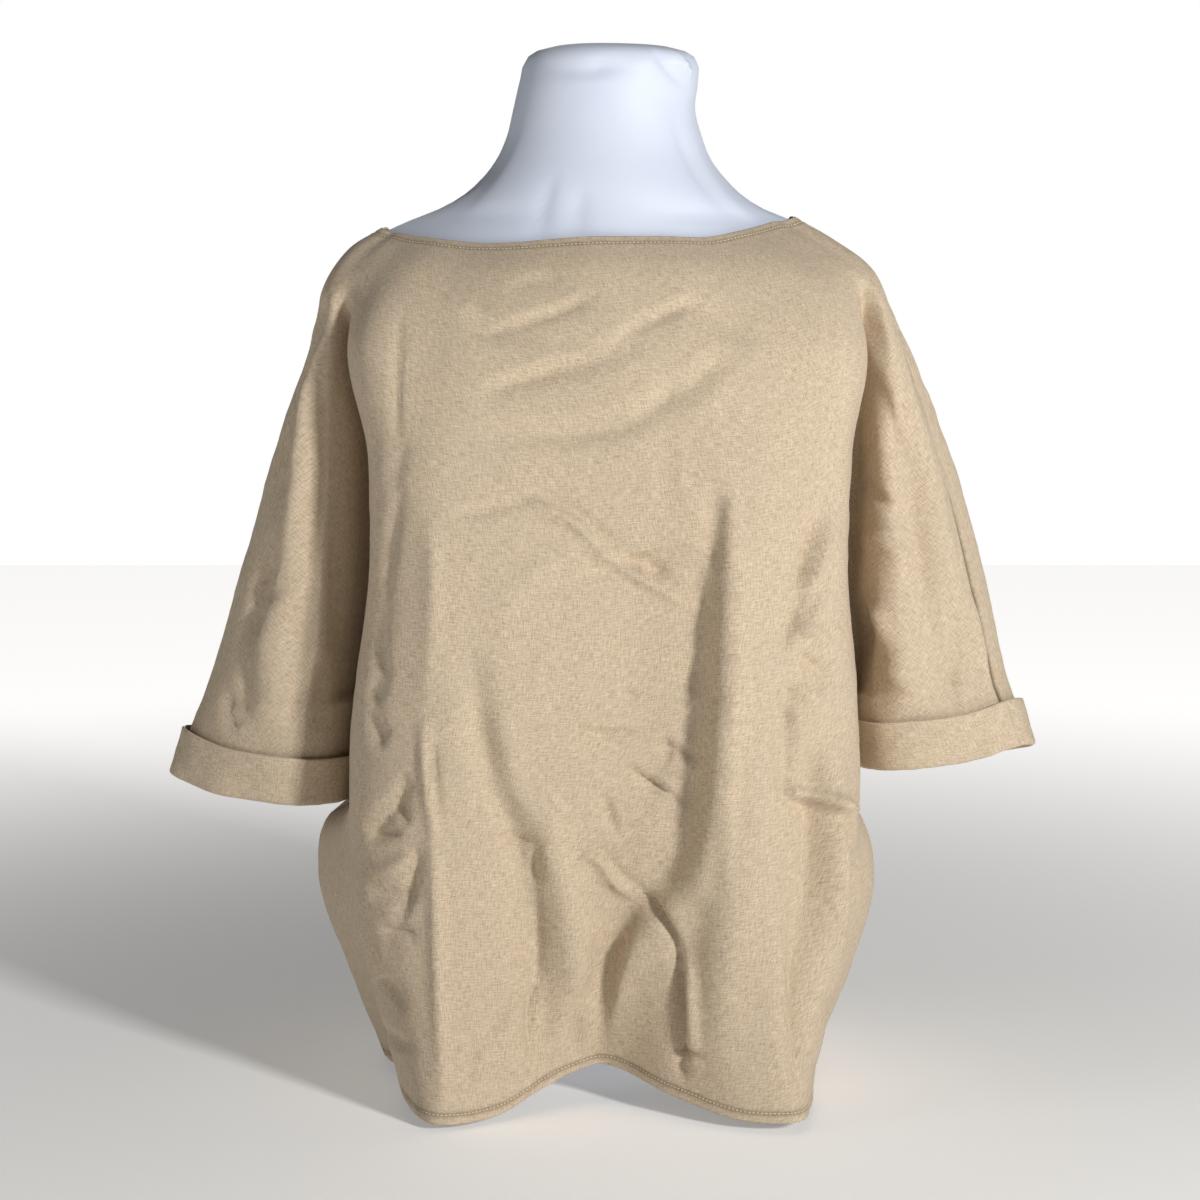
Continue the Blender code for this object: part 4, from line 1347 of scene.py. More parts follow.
@dataclass(frozen=True)
class Drape:
    """Small relief of the worn cloth: creases, rumples, sunk seams and turned edges."""

    rumple_mm: float = 0.9
    rumple_size: float = 42.0
    crumple_mm: float = 1.9
    crumple_size: float = 22.0
    crumple_level: float = 0.35   # a crumple's fold stands this far above its foot
    patch_size: float = 95.0      # crumpled patches alternate with smooth ones
    patch_share: float = 0.35
    patch_least: float = 0.15     # how crumpled a smooth patch still is
    seed_step: float = 37.0       # keeps the front's rumples from the back's
    seam_depth: float = 3.2
    seam_width: float = 1.8
    shoulder_seam: float = 0.3    # share of that depth where the cloth lies on the form
    painted_shade_width: float = 2.0     # painted shade in a seam's hollow fades out over this distance
    painted_stitch_shade: float = 0.5     # painted shade under the stitches, beside a seam's
    hem_width: float = 9.0        # the turned-in edge of neckline and hem
    hem_step: float = 0.55
    hem_round: float = 0.5        # how softly that step ends
    stitch_inset: float = STITCH_INSET
    stitch_sink: float = 0.75
    stitch_width: float = 1.1
    fit_height: float = 600.0     # above this the cloth lies on the form
    ease_height: float = 40.0     # below that height, the relief comes in over this much
    ease_least: float = 0.15
    seam_height: float = 80.0     # and the seams over this much
    samples: int = 24             # points along a crease
    reach: float = 3.0            # widths from a crease at which it has run out
    fade_power: float = 0.7       # how bluntly a crease ends
    lean_gain: float = 1.6        # how much a crease's lean counts beside its height
    gain: float = 2.2             # how much deeper than its table each crease is worn
    pressed: float = 0.9          # a narrow crease is pressed in, and deeper still
    pressed_width: float = 7.0

    def crease_field(self, points: np.ndarray, creases: Sequence[Crease]) -> np.ndarray:
        """Height that the creases add at each point, by its place seen from the front.

        Args:
            points: the surface's points in mm.
            creases: the table of creases.

        Returns:
            One height in mm for each point.
        """
        flat = points[:, [0, 2]]
        total = np.zeros(len(points))
        s = np.linspace(0, 1, self.samples)[:, None]
        for crease in creases:
            start, bend, end = (np.array(crease[i:i + 2]) for i in (0, 2, 4))
            through = 2 * bend - (start + end) / 2
            line = (1 - s)**2 * start + 2 * s * (1 - s) * through + s**2 * end
            reach = self.reach * crease.width
            near = np.flatnonzero(((flat > line.min(0) - reach)
                                   & (flat < line.max(0) + reach)).all(axis=1))
            if not len(near):
                continue
            gaps = flat[near][:, None] - line[None]
            nearest = np.linalg.norm(gaps, axis=2).argmin(axis=1)
            gap = gaps[np.arange(len(near)), nearest]
            along = np.gradient(line, axis=0)[nearest]
            step = np.linalg.norm(along, axis=1)
            along /= step[:, None]
            offset = (along[:, 0] * gap[:, 1] - along[:, 1] * gap[:, 0]) / crease.width
            ahead = np.clip((along * gap).sum(axis=1) / step, -0.5, 0.5)
            fade = np.sin(np.pi * (nearest + 0.5 + ahead) / self.samples) ** self.fade_power
            bell = np.exp(-np.abs(offset)**crease.crisp)
            narrow = max(0.0, 1 - crease.width / self.pressed_width)
            lift = crease.height + crease.lean * offset * self.lean_gain
            total[near] += fade * bell * lift * (1 + self.pressed * narrow)
        return total * self.gain

    def rumples(self, points: np.ndarray, seed: float) -> np.ndarray:
        """Soft unevenness and faint crumpling of washed linen.

        Args:
            points: the surface's points in mm.
            seed: where the noise is read.

        Returns:
            One height in mm for each point.
        """
        total = np.empty(len(points))
        for i, (x, y, z) in enumerate(points):
            place = Vector((x + seed, y, z))
            soft = noise.noise(place / self.rumple_size)
            fold = self.crumple_level - abs(noise.noise(place / self.crumple_size))
            patch = noise.noise(place / self.patch_size) + self.patch_share
            total[i] = (self.rumple_mm * soft
                        + self.crumple_mm * fold * min(max(patch, self.patch_least), 1.0))
        return total

    def hung(self, panel: Panel, over: float, least: float) -> np.ndarray:
        """How freely the cloth hangs, from the height at which it lies on the form.

        Args:
            panel: the panel.
            over: the drop in mm over which it comes to hang free.
            least: the share for cloth that lies on the form.

        Returns:
            One share for each point.
        """
        return np.clip((self.fit_height - panel.points[:, 2]) / over, least, 1)

    def painted_shade(self, panel: Panel) -> np.ndarray:
        """Painted shade at each point, by how far it lies in a seam's hollow or beside the edge's
        stitches.

        Args:
            panel: the panel, with its distances.

        Returns:
            One share for each point.
        """
        seam = np.exp(-(panel.seam_distance / self.painted_shade_width)**2)
        found = seam * self.hung(panel, self.seam_height, 0)
        for distance in (panel.neck_distance, panel.hem_distance):
            line = np.exp(-((distance - self.stitch_inset) / self.painted_shade_width)**2)
            found = np.maximum(found, self.painted_stitch_shade * line)
        return found

    def relief(self, panel: Panel, creases: dict[Zone, Sequence[Crease]]) -> np.ndarray:
        """All the small relief of a panel, outwards in mm.

        Args:
            panel: the panel, with its normals.
            creases: the creases of each zone.

        Returns:
            One height for each point.
        """
        total = self.rumples(panel.points, len(panel.name) * self.seed_step)
        for zone, rows in creases.items():
            here = np.flatnonzero(panel.zone == zone.value)
            total[here] += self.crease_field(panel.points[here], rows)
        total *= self.hung(panel, self.ease_height, self.ease_least)
        depth = self.seam_depth * self.hung(panel, self.seam_height, self.shoulder_seam)
        total -= depth * np.exp(-(panel.seam_distance / self.seam_width)**2)
        for distance in (panel.neck_distance, panel.hem_distance):
            inside = 1 / (1 + np.exp((distance - self.hem_width) / self.hem_round))
            total += self.hem_step * inside
            total -= self.stitch_sink * np.exp(
                -((distance - self.stitch_inset) / self.stitch_width)**2)
        return total


def to_frame(points: np.ndarray) -> np.ndarray:
    """Garment millimetres to metres in the frame.

    Args:
        points: places in mm.

    Returns:
        The same places in metres.
    """
    moved = np.array(points, dtype=float)
    moved[:, 1] += SHOULDER_LINE_Y
    return moved * MM


def new_mesh(name: str, points: np.ndarray, faces: Sequence, material: bpy.types.Material,
             cut: np.ndarray | None = None,
             painted_shade: np.ndarray | None = None) -> bpy.types.Object:
    """Make a smooth-shaded object at the origin.

    Args:
        name: the piece's name.
        points: places in metres.
        faces: corner numbers.
        material: its finish.
        cut: places on the flat cut in mm, one for each face corner.
        painted_shade: painted shade at each point, in a seam's hollow or beside the stitches,
            from 0 to 1.

    Returns:
        The object.
    """
    mesh = bpy.data.meshes.new(name)
    mesh.from_pydata(points.tolist(), [], [list(map(int, face)) for face in faces])
    if cut is not None:
        layer = mesh.uv_layers.new(name="cut")
        layer.data.foreach_set("uv", (cut.reshape(-1) * MM).astype(np.float32))
    if painted_shade is not None:
        marks = mesh.attributes.new("painted_shade", "FLOAT", "POINT")
        marks.data.foreach_set("value", painted_shade.astype(np.float32))
    mesh.shade_smooth()
    mesh.materials.append(material)
    made = bpy.data.objects.new(name, mesh)
    bpy.context.scene.collection.objects.link(made)
    return made


def shell(panel: Panel, relief: np.ndarray, painted_shade: np.ndarray, wall: float, flip: bool,
          material: bpy.types.Material) -> bpy.types.Object:
    """A panel as a closed thin shell.

    Args:
        panel: its grid and normals.
        relief: height of each point in mm.
        painted_shade: painted shade at each point, in a seam's hollow or beside the stitches.
        wall: thickness in mm.
        flip: whether the faces' own order points inwards.
        material: its finish.

    Returns:
        The object.
    """
    out = panel.normals * (relief + wall / 2)[:, None]
    inn = panel.normals * (relief - wall / 2)[:, None]
    count = len(panel.points)
    outer = panel.faces[:, TURNED] if flip else panel.faces
    outer_cut = panel.cut[:, TURNED] if flip else panel.cut
    inner = outer[:, TURNED] + count
    inner_cut = outer_cut[:, TURNED]
    edges = {}
    for number, face in enumerate(outer.tolist()):
        for i in range(4):
            edges[(face[i], face[(i + 1) % 4])] = (number, i)
    rim, rim_cut = [], []
    for (a, b), (number, i) in edges.items():
        if (b, a) not in edges:
            rim.append((b, a, a + count, b + count))
            start, end = outer_cut[number, i], outer_cut[number, (i + 1) % 4]
            rim_cut.append((end, start, start, end))
    faces = np.vstack([outer, inner, np.array(rim)])
    cut = np.concatenate([outer_cut, inner_cut, np.array(rim_cut)])
    points = to_frame(np.vstack([panel.points + out, panel.points + inn]))
    return new_mesh(panel.name, points, faces, material, cut, np.tile(painted_shade, 2))


def dressed(piece: bpy.types.Object, slot: str, *nodes: str) -> bpy.types.Object:
    """Ride a piece on the one body and hide the nodes that it stands for.

    Args:
        piece: the piece.
        slot: not used.
        nodes: the nodes that it replaces.

    Returns:
        The piece.
    """
    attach(piece, "root")
    if nodes:
        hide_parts(*nodes)
    LOG.info("%s: %d faces", piece.name, len(piece.data.polygons))
    return piece


def ring_faces(width: int, levels: int, closed: bool = False) -> list[tuple]:
    """Four-sided faces between rings of points.

    Args:
        width: points in a ring.
        levels: how many rings there are.
        closed: whether the last ring joins the first.

    Returns:
        The corner numbers of each face.
    """
    faces = []
    for level in range(levels if closed else levels - 1):
        low, high = level * width, (level + 1) % levels * width
        for i in range(width):
            j = (i + 1) % width
            faces.append((low + i, low + j, high + j, high + i))
    return faces


# ---- sub-assemblies
@dataclass
class StitchRow:
    """A row of lockstitch along an edge, laid along a line by Geometry Nodes."""

    name: str
    pitch_mm: float = 2.9
    length_mm: float = 2.2
    thick_mm: float = 0.85
    shortest: float = 0.82        # stitches vary between these shares of that length
    longest: float = 1.12
    seed: int = 7
    bead_sides: int = 6
    bead_rings: int = 5
    bead_radius: float = 0.5      # a bead of one unit, scaled to each stitch

    def tree(self) -> bpy.types.NodeTree:
        """The node tree, with named inputs for the sizes and the thread.

        Returns:
            The tree.
        """
        tree = bpy.data.node_groups.new(f"{self.name}_stitches", "GeometryNodeTree")
        face = tree.interface
        face.new_socket("Line", in_out="INPUT", socket_type="NodeSocketGeometry")
        for label in ("Pitch", "Length", "Thickness"):
            face.new_socket(label, in_out="INPUT", socket_type="NodeSocketFloat")
        face.new_socket("Thread", in_out="INPUT", socket_type="NodeSocketMaterial")
        face.new_socket("Stitches", in_out="OUTPUT", socket_type="NodeSocketGeometry")
        given = add_node(tree, "NodeGroupInput").outputs
        spaced = add_node(tree, "GeometryNodeResampleCurve",
                          {"Curve": given["Line"], "Length": given["Pitch"]}, mode="LENGTH")
        tangent = add_node(tree, "GeometryNodeInputTangent").outputs["Tangent"]
        turned = add_node(tree, "FunctionNodeAlignRotationToVector", {"Vector": tangent},
                          axis="X")
        uneven = add_node(tree, "FunctionNodeRandomValue", None,
                          {RANDOM_MIN: self.shortest, RANDOM_MAX: self.longest,
                           "Seed": self.seed}, data_type="FLOAT").outputs[RANDOM_OUT]
        run = add_node(tree, "ShaderNodeMath", {0: given["Length"], 1: uneven},
                       operation="MULTIPLY").outputs[0]
        scale = add_node(tree, "ShaderNodeCombineXYZ",
                         {"X": run, "Y": given["Thickness"], "Z": given["Thickness"]})
        bead = add_node(tree, "GeometryNodeMeshUVSphere", None,
                        {"Segments": self.bead_sides, "Rings": self.bead_rings,
                         "Radius": self.bead_radius})
        stand = add_node(tree, "FunctionNodeEulerToRotation", None,
                         {"Euler": (0.0, math.pi / 2, 0.0)})
        upright = add_node(tree, "GeometryNodeTransform",
                           {"Geometry": bead.outputs["Mesh"],
                            "Rotation": stand.outputs["Rotation"]})
        laid = add_node(tree, "GeometryNodeInstanceOnPoints",
                        {"Points": spaced.outputs["Curve"],
                         "Instance": upright.outputs["Geometry"],
                         "Rotation": turned.outputs["Rotation"],
                         "Scale": scale.outputs["Vector"]})
        real = add_node(tree, "GeometryNodeRealizeInstances",
                        {"Geometry": laid.outputs["Instances"]})
        smooth = add_node(tree, "GeometryNodeSetShadeSmooth",
                          {"Geometry": real.outputs["Geometry"]})
        done = add_node(tree, "GeometryNodeSetMaterial",
                        {"Geometry": smooth.outputs["Geometry"], "Material": given["Thread"]})
        add_node(tree, "NodeGroupOutput", {"Stitches": done.outputs["Geometry"]})
        return tree

    def build(self, line: np.ndarray, thread: bpy.types.Material) -> bpy.types.Object:
        """Sew the row along a line of points.

        Args:
            line: points in metres.
            thread: the thread's finish.

        Returns:
            The stitches as one plain mesh.
        """
        curve = bpy.data.curves.new(f"{self.name}_line", "CURVE")
        curve.dimensions = "3D"
        spline = curve.splines.new("POLY")
        spline.points.add(len(line) - 1)
        spline.points.foreach_set("co", np.column_stack([line, np.ones(len(line))]).ravel())
        guide = bpy.data.objects.new(f"{self.name}_line", curve)
        bpy.context.scene.collection.objects.link(guide)
        tree = self.tree()
        modifier = guide.modifiers.new("stitches", "NODES")
        modifier.node_group = tree
        sockets = {item.name: item.identifier for item in tree.interface.items_tree
                   if item.in_out == "INPUT"}
        for label, size in (("Pitch", self.pitch_mm), ("Length", self.length_mm),
                            ("Thickness", self.thick_mm)):
            modifier[sockets[label]] = size * MM
        modifier[sockets["Thread"]] = thread
        graph = bpy.context.evaluated_depsgraph_get()
        mesh = bpy.data.meshes.new_from_object(guide.evaluated_get(graph))
        mesh.name = self.name
        guide.modifiers.remove(modifier)
        bpy.data.objects.remove(guide, do_unlink=True)
        piece = bpy.data.objects.new(self.name, mesh)
        bpy.context.scene.collection.objects.link(piece)
        return dressed(piece, "linen_cloth")


@dataclass
class Topstitching:
    """The stitch rows of the neckline and the hem."""

    inset_mm: float = STITCH_INSET
    wall_mm: float = WALL
    proud_mm: float = 0.1         # how far the thread's middle stands off the cloth
    neck_rows: int = 16           # rows from an edge among which its stitches lie
    hem_rows: int = 14

    def line(self, panel: Panel, lines: list, distance: np.ndarray) -> np.ndarray:
        """Points along a panel's edge, a set distance in, on the cloth's outer face.

        Args:
            panel: the grid with its moved points.
            lines: rows of point numbers from the edge inwards.
            distance: each point's distance from the edge.

        Returns:
            The line in metres.
        """
        stack = np.stack(lines)
        away = distance[stack]
        found = []
        for column in range(stack.shape[1]):
            level = int(np.searchsorted(away[:, column], self.inset_mm))
            low, high = stack[level - 1, column], stack[level, column]
            share = (self.inset_mm - distance[low]) / (distance[high] - distance[low])
            out = panel.normals[low] * (self.wall_mm / 2 + self.proud_mm)
            found.append(panel.points[low] * (1 - share) + panel.points[high] * share + out)
        return to_frame(np.array(found))

    def build(self, panel: Panel, thread: bpy.types.Material) -> list[bpy.types.Object]:
        """Sew a panel's neckline and hem.

        Args:
            panel: the grid with its moved points.
            thread: the thread's finish.

        Returns:
            The two rows.
        """
        part = panel.name.split("_")[0]
        neck = self.line(panel, panel.neck_lines[:self.neck_rows], panel.neck_distance)
        hem = self.line(panel, panel.hem_lines[::-1][:self.hem_rows], panel.hem_distance)
        return [StitchRow(f"neckline_stitches_{part}").build(neck, thread),
                StitchRow(f"hem_stitches_{part}").build(hem, thread)]


@dataclass
class Cloth:
    """Front and back of the blouse, each with its two half-sleeves cut on."""

    wall_mm: float = WALL
    front_cut: tuple = (0.98, 0.70)      # metres, the whole cut as it lies flat
    back_cut: tuple = (0.98, 0.70)
    worn: WornBlouse = field(default_factory=WornBlouse)
    columns: Columns = field(default_factory=Columns)
    rows: Rows = field(default_factory=Rows)
    drape: Drape = field(default_factory=Drape)
    stitching: Topstitching = field(default_factory=Topstitching)

    def grids(self) -> tuple[Panel, Panel]:
        """The front's and the back's grids, with normals that agree at the seams.

        Returns:
            The front and the back.
        """
        worn, columns = self.worn, self.columns
        upper = [worn.loop_above(p, columns) for p in self.rows.places(0, worn.underarm)]
        body = [worn.loop_body(p, columns)
                for p in self.rows.places(worn.underarm, worn.hem)[1:]]
        count = self.rows.sleeve
        ends = {side: [worn.loop_sleeve(side, worn.underarm + (i + 1) / count, columns)
                       for i in range(count)] for side in Wear}
        widths = [sum(len(s) for s in shares) for shares in (columns.front_arm, columns.back_arm)]
        panels = []
        for index, name in enumerate(("front_cloth", "back_cloth")):
            sleeves = {side: np.stack([pair[index] for pair in ends[side]]) for side in Wear}
            panels.append(make_panel(name, np.stack([pair[index] for pair in upper]), sleeves,
                                     np.stack([pair[index] for pair in body]), widths[index]))
        share_seam_normals(*panels)
        return panels[0], panels[1]

    def build(self, material: bpy.types.Material,
              thread: bpy.types.Material) -> tuple[Panel, Panel]:
        """Args:
            material: the linen.
            thread: the stitches' finish.

        Returns:
            The two grids, with their points moved out to the cloth's middle.
        """
        front, back = self.grids()
        creases = {
            front.name: {Zone.BODY: FRONT_CREASES, Zone.SLEEVE_RIGHT: SLEEVE_RIGHT_CREASES,
                         Zone.SLEEVE_LEFT: SLEEVE_LEFT_CREASES},
            back.name: {Zone.BODY: BACK_CREASES, Zone.SLEEVE_RIGHT: SLEEVE_BACK_CREASES,
                        Zone.SLEEVE_LEFT: SLEEVE_BACK_CREASES}}
        for panel, node, flip, cut in ((front, "front_panel", False, self.front_cut),
                                       (back, "back_panel", True, self.back_cut)):
            relief = self.drape.relief(panel, creases[panel.name])
            piece = shell(panel, relief, self.drape.painted_shade(panel), self.wall_mm, flip, material)
            dressed(piece, "linen_cloth", node)
            panel.points = panel.points + panel.normals * relief[:, None]
            rows = self.stitching.build(panel, thread)
        return front, back

    @staticmethod
    def area(panel: Panel) -> float:
        """The panel's area in square metres."""
        doubled = np.linalg.norm(face_normals(panel), axis=1).sum()
        return round(float(doubled / 2) * MM * MM, 3)


@dataclass
class SleeveBand:
    """A band turned up over a sleeve's end, its top edge standing a little proud."""

    side: Wear
    node: str
    height: float = 33.0          # mm, of the band as it stands
    cut: tuple = (0.34, 0.043)    # metres: the way round, and what shows of the width
    pucker_mm: float = 3.2        # puckers gathered by the seam at the lower edge
    pucker_size: float = 11.0
    wave_mm: float = 2.0          # long waves, fullest at the free upper edge
    wave_size: float = 38.0
    wave_level: float = 0.25      # the waves stand this far out on the whole
    wave_hold: float = 0.6        # how much of them the seam holds flat
    closing_mm: float = 2.0       # from the section's last point back to its first
    section: tuple = table(CuffPoint, (
        (5.0, -0.9), (2.0, -0.9), (-0.2, -0.8), (-0.2, 0.9),
        (4.0, 1.0), (8.0, 1.15), (12.0, 1.4), (16.0, 1.7),
        (20.0, 2.0), (24.0, 2.6), (28.0, 3.4), (31.5, 4.1),
        (33.0, 4.4), (33.7, 5.1), (33.3, 5.9), (32.0, 6.0),
        (28.0, 5.4), (24.0, 4.9), (20.0, 4.4), (16.0, 4.0),
        (12.0, 3.5), (8.0, 3.35), (4.0, 3.25), (1.0, 3.15),
        (-0.9, 2.8), (-2.0, 1.7), (-2.3, 0.2), (-2.0, -1.3),
        (-1.0, -2.2), (1.0, -2.45), (3.0, -2.3), (5.0, -1.7),
    ))

    def ring(self, panels: tuple, up: float) -> tuple[np.ndarray, np.ndarray]:
        """Points and outward directions round the sleeve, a height above its end.

        Args:
            panels: the front's and the back's grids.
            up: the height in mm, along the cloth.

        Returns:
            The points and the directions.
        """
        ring, out = [], []
        for panel, backwards in zip(panels, (False, True)):
            columns = panel.sleeve_rows[self.side].T
            columns = columns[::-1][:-1] if backwards else columns[:-1]
            for column in columns:
                left = up
                for low, high in zip(column[::-1], column[-2::-1]):
                    rise = panel.points[high] - panel.points[low]
                    span = float(np.linalg.norm(rise))
                    if left <= span or high == column[0]:
                        break
                    left -= span
                share = left / span
                ring.append(panel.points[low] + rise * share)
                turned = panel.normals[low]
                turned = turned + (panel.normals[high] - turned) * max(share, 0.0)
                out.append(turned / np.linalg.norm(turned))
        return np.array(ring), np.array(out)

    def build(self, panels: tuple, material: bpy.types.Material) -> None:
        """Build the band as one closed ring of cloth.

        Args:
            panels: the front's and the back's grids.
            material: the linen.
        """
        rings, cuts = [], []
        travel = 0.0
        for number, point in enumerate(self.section):
            here, out = self.ring(panels, point.up)
            lift = np.full(len(here), point.out)
            if point.out > 0:
                share = 1 - min(max(point.up, 0) / self.height, 1)
                for i, (x, y, z) in enumerate(here):
                    pucker = noise.noise(Vector((x, y, 0)) / self.pucker_size)
                    wave = noise.noise(Vector((x, y, z)) / self.wave_size)
                    lift[i] += self.pucker_mm * share * pucker
                    lift[i] += (self.wave_mm * (wave + self.wave_level)
                                * (1 - self.wave_hold * share))
            rings.append(here + out * lift[:, None])
            around = np.linalg.norm(np.diff(np.vstack([here, here[:1]]), axis=0), axis=1)
            if number:
                before = self.section[number - 1]
                travel += math.hypot(point.up - before.up, point.out - before.out)
            cuts.append((np.concatenate([[0.0], np.cumsum(around)]), travel))
        width = len(rings[0])
        faces = ring_faces(width, len(rings), closed=True)
        piece = new_mesh(f"{self.node}_band", to_frame(np.vstack(rings)), faces, material,
                         self.flat(width, cuts))
        tidy_normals(piece)
        dressed(piece, "linen_cloth", self.node)

    def flat(self, width: int, cuts: list) -> np.ndarray:
        """Places on the cut of the faces between the rings.

        Args:
            width: points in a ring.
            cuts: each ring's places across the cut, and its place up it.

        Returns:
            Four places for each face.
        """
        cut = []
        for (low, foot), (high, top) in zip(cuts, cuts[1:] + cuts[:1]):
            top = top if top > foot else foot + self.closing_mm
            for i in range(width):
                cut.append(((low[i], foot), (low[i + 1], foot), (high[i + 1], top),
                            (high[i], top)))
        return np.array(cut)


def tidy_normals(piece: bpy.types.Object) -> None:
    """Turn a closed piece's faces out.

    Args:
        piece: the piece, whose mesh is changed.
    """
    shape = bmesh.new()
    shape.from_mesh(piece.data)
    bmesh.ops.recalc_face_normals(shape, faces=shape.faces)
    shape.to_mesh(piece.data)
    shape.free()


@dataclass
class DressForm:
    """The limbless torso in its stretch cover, on its flat foot."""

    columns: int = 168
    rise_mm: float = 4.5          # height of a ring of the fine surface
    foot_top: float = 40.0
    foot_arch: float = 56.0       # depth of the arch in the foot's front
    foot_arch_half: float = 44.0
    straight_spans: int = 2       # spans at the foot and at the neck's top with straight sides
    sharp_deg: float = 50.0       # edges that turn more than this stay crisp
    folds_from: float = 540.0     # height above which the cover wrinkles
    cover_folds: tuple = table(Crease, (
        (-32, 650, -39, 628, -40, 600, 6, -2.2, 1),
        (-9, 642, -14, 624, -12, 604, 7, -1.6, 0.7),
        (48, 746, 56, 736, 66, 726, 4.4, 5, -3),
        (40, 741, 52, 732, 62, 720, 5, -4.6, 1.6),
        (57, 700, 70, 662, 96, 630, 6, -3, 2),
        (62, 690, 82, 648, 116, 620, 5, 2.6, -1),
        (-50, 735, -20, 729, 24, 733, 5, -3.2, 1.6),
        (-62, 690, -80, 652, -110, 622, 7, -3, 1.6),
    ))

    def wrinkled(self, rings: np.ndarray) -> np.ndarray:
        """The rings with the wrinkles of the cover pressed into their front half.

        Args:
            rings: rings by columns by three.

        Returns:
            The moved rings.
        """
        moved = rings.copy()
        flat = moved.reshape(-1, 3)
        ahead = flat[:, 1] < np.repeat(moved[:, :, 1].mean(axis=1), self.columns)
        near = np.flatnonzero(ahead & (flat[:, 2] > self.folds_from))
        lift = Drape(gain=1.0).crease_field(flat[near], self.cover_folds)
        middle = np.array([0.0, flat[near, 1].mean(), 0.0])
        out = flat[near] - middle
        out[:, 2] = 0
        flat[near] += out / np.linalg.norm(out, axis=1)[:, None] * lift[:, None]
        return moved

    def ring(self, row: Torso) -> np.ndarray:
        """The points of one level section.

        Args:
            row: the section.

        Returns:
            The points, once round.
        """
        angle = 2 * np.pi * np.arange(self.columns) / self.columns
        reach = np.where(np.cos(angle) > 0, row.left, row.right)
        depth = np.abs(np.sin(angle)) ** (2 * row.thin)
        end = np.where(np.sin(angle) > 0, row.back, row.front)
        x, y = reach * np.cos(angle), row.tip_y + (end - row.tip_y) * depth
        if row.z <= self.foot_top:
            toes = self.foot_arch * np.exp(-(x / self.foot_arch_half)**2)
            y = y + np.where(np.sin(angle) < 0, toes, 0.0)
        return np.stack([x, y, np.full_like(x, row.z)], axis=-1)

    def levels(self) -> list[Torso]:
        """Sections from the foot to the neck's top, each a few millimetres above the last.

        Returns:
            The sections.
        """
        found = [TORSO[0]]
        for index, (low, high) in enumerate(zip(TORSO, TORSO[1:])):
            # the foot's side is one straight span
            count = max(2, round((high.z - low.z) / self.rise_mm)) if index else 1
            for step in range(count):
                share = (step + 1) / count
                if index < self.straight_spans or index >= len(TORSO) - self.straight_spans:
                    values = [a + (b - a) * share for a, b in zip(low, high)]
                else:
                    values = read_table(TORSO, ("z",), index + share)
                found.append(Torso(*values))
        return found

    def build(self, material: bpy.types.Material) -> None:
        """Build the form as one closed surface.

        Args:
            material: the stretch cover.
        """
        rings = self.wrinkled(np.stack([self.ring(row) for row in self.levels()]))
        faces = ring_faces(self.columns, len(rings))
        count = len(rings) * self.columns
        faces.append(tuple(range(self.columns))[::-1])
        faces.append(tuple(range(count - self.columns, count)))
        piece = new_mesh("form_cover", to_frame(np.vstack(rings)), faces, material)
        piece.data.set_sharp_from_angle(angle=math.radians(self.sharp_deg))
        dressed(piece, "form_cover", "dress_form")


class Lamp(NamedTuple):
    """A square area lamp: its place and side in metres, and its power in watts."""

    name: str
    place: tuple
    size: float
    watts: float


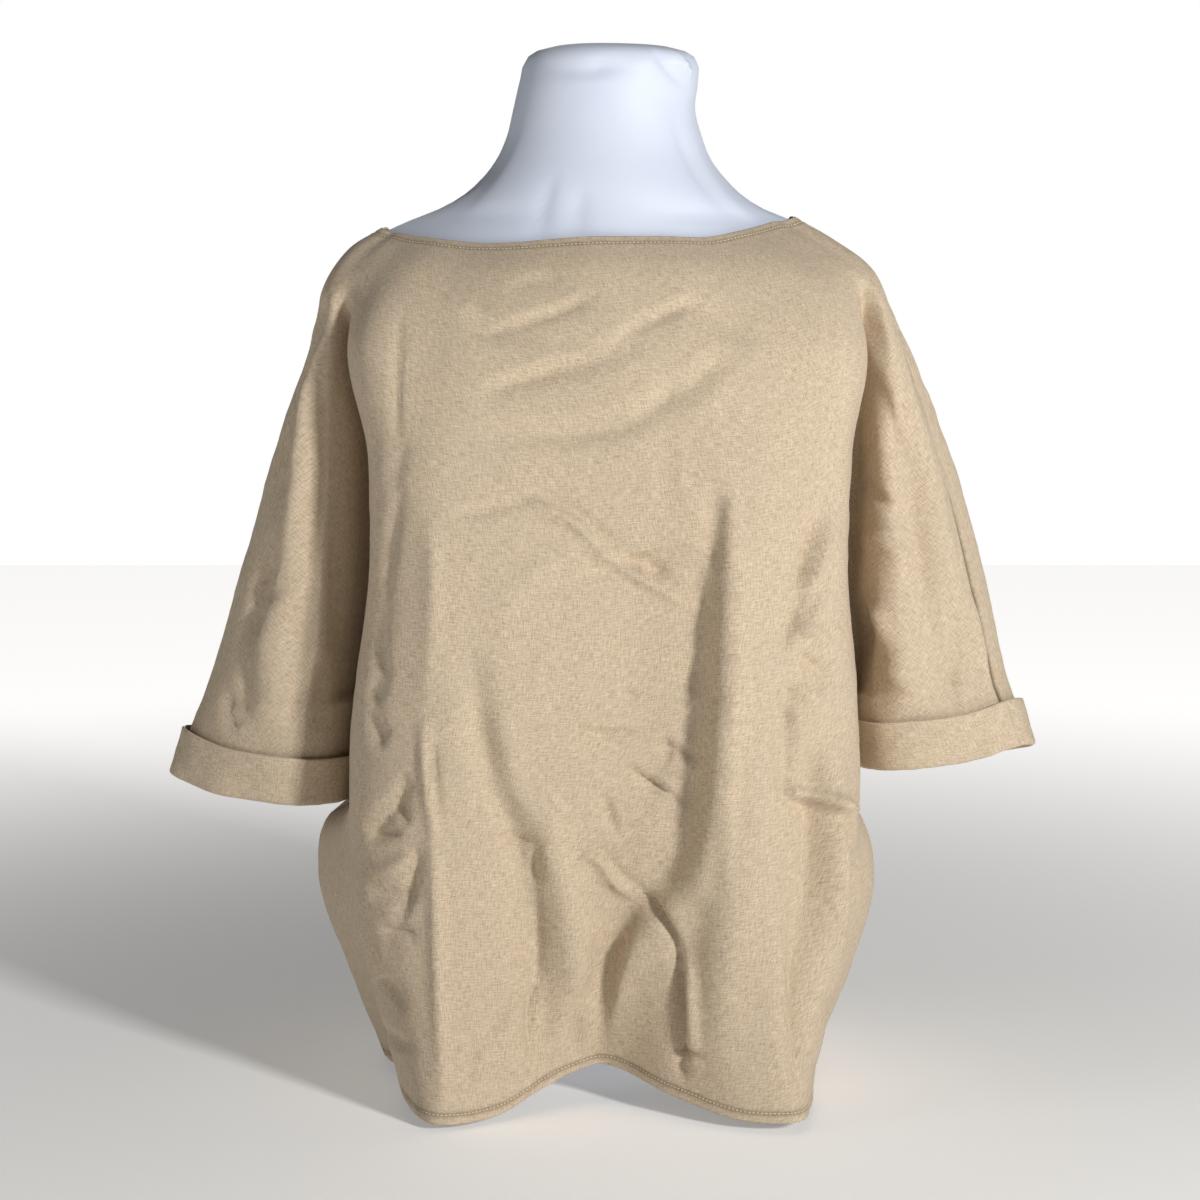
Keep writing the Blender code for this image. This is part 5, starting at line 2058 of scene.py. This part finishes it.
@dataclass
class Studio:
    """Pale floor, soft light and the camera at the photograph's angle."""

    camera_distance: float = 1.85
    camera_down_deg: float = 5.5
    aim_height: float = 0.3475
    metres_per_pixel: float = 0.000735
    frame_pixels: int = 1200
    sensor_mm: float = 36.0
    floor_size: float = 9.0
    ambient: float = 0.045        # light from the surroundings, of the white that shows
    white: tuple = (1.0, 1.0, 1.0, 1.0)
    lamp_aim: tuple = (0.0, 0.0, 0.35)
    lamps: tuple = (Lamp("key", (1.8, -2.36, 1.3), 0.35, 74),
                    Lamp("fill", (-2.8, -1.2, 1.1), 1.2, 10))

    def build(self) -> None:
        """Set the floor, the lights and the camera."""
        self.floor()
        for given in self.lamps:
            self.lamp(given)
        self.sky()
        self.camera()
        bpy.context.scene.view_settings.view_transform = "Standard"

    def sky(self) -> None:
        """Even white surroundings that light the scene less than they show."""
        world = bpy.data.worlds.new("studio")
        world.use_nodes = True
        tree = world.node_tree
        background = tree.nodes["Background"]
        seen = add_node(tree, "ShaderNodeLightPath").outputs["Is Camera Ray"]
        strength = add_node(tree, "ShaderNodeMapRange", {"Value": seen},
                            {"To Min": self.ambient}).outputs[0]
        wire(tree, background, {"Strength": strength}, {"Color": self.white})
        bpy.context.scene.world = world

    def floor(self) -> None:
        """A wide pale floor just under the foot, glowing with painted light."""
        half = self.floor_size / 2
        corners = np.array([(-half, -half, 0), (half, -half, 0), (half, half, 0),
                            (-half, half, 0)])
        new_mesh("floor", corners, [(0, 1, 2, 3)], GlowingFloor().make())

    def lamp(self, given: Lamp) -> None:
        """Hang one lamp so that it faces the blouse's middle.

        Args:
            given: the lamp.
        """
        light = bpy.data.lights.new(given.name, "AREA")
        light.shape = "SQUARE"
        light.size = given.size
        light.energy = given.watts
        lamp = bpy.data.objects.new(given.name, light)
        lamp.location = given.place
        aim = Vector(self.lamp_aim) - Vector(given.place)
        lamp.rotation_euler = aim.to_track_quat("-Z", "Y").to_euler()
        bpy.context.scene.collection.objects.link(lamp)

    def camera(self) -> None:
        """The camera, a little above the blouse's middle and looking down at it."""
        down = math.radians(self.camera_down_deg)
        reach = self.camera_distance
        lens = bpy.data.cameras.new("camera")
        lens.sensor_width = self.sensor_mm
        lens.lens = self.sensor_mm * reach / self.metres_per_pixel / self.frame_pixels
        camera = bpy.data.objects.new("camera", lens)
        camera.location = (0, SHOULDER_LINE_Y * MM - reach * math.cos(down),
                           self.aim_height + reach * math.sin(down))
        camera.rotation_euler = (math.pi / 2 - down, 0, 0)
        bpy.context.scene.collection.objects.link(camera)
        bpy.context.scene.camera = camera


def main() -> None:
    """Build the blouse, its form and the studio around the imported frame."""
    logging.basicConfig(level=logging.INFO, format="%(name)s: %(message)s")
    for old in list(bpy.data.objects):
        bpy.data.objects.remove(old, do_unlink=True)
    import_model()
    Studio().build()
    DressForm().build(StretchCover().make())
    linen = Linen().make()
    panels = Cloth().build(linen, SpunThread().make())
    for side, node in ((Wear.RIGHT, "cuff_right"), (Wear.LEFT, "cuff_left")):
        SleeveBand(side, node).build(panels, linen)


if __name__ == "__main__":
    main()
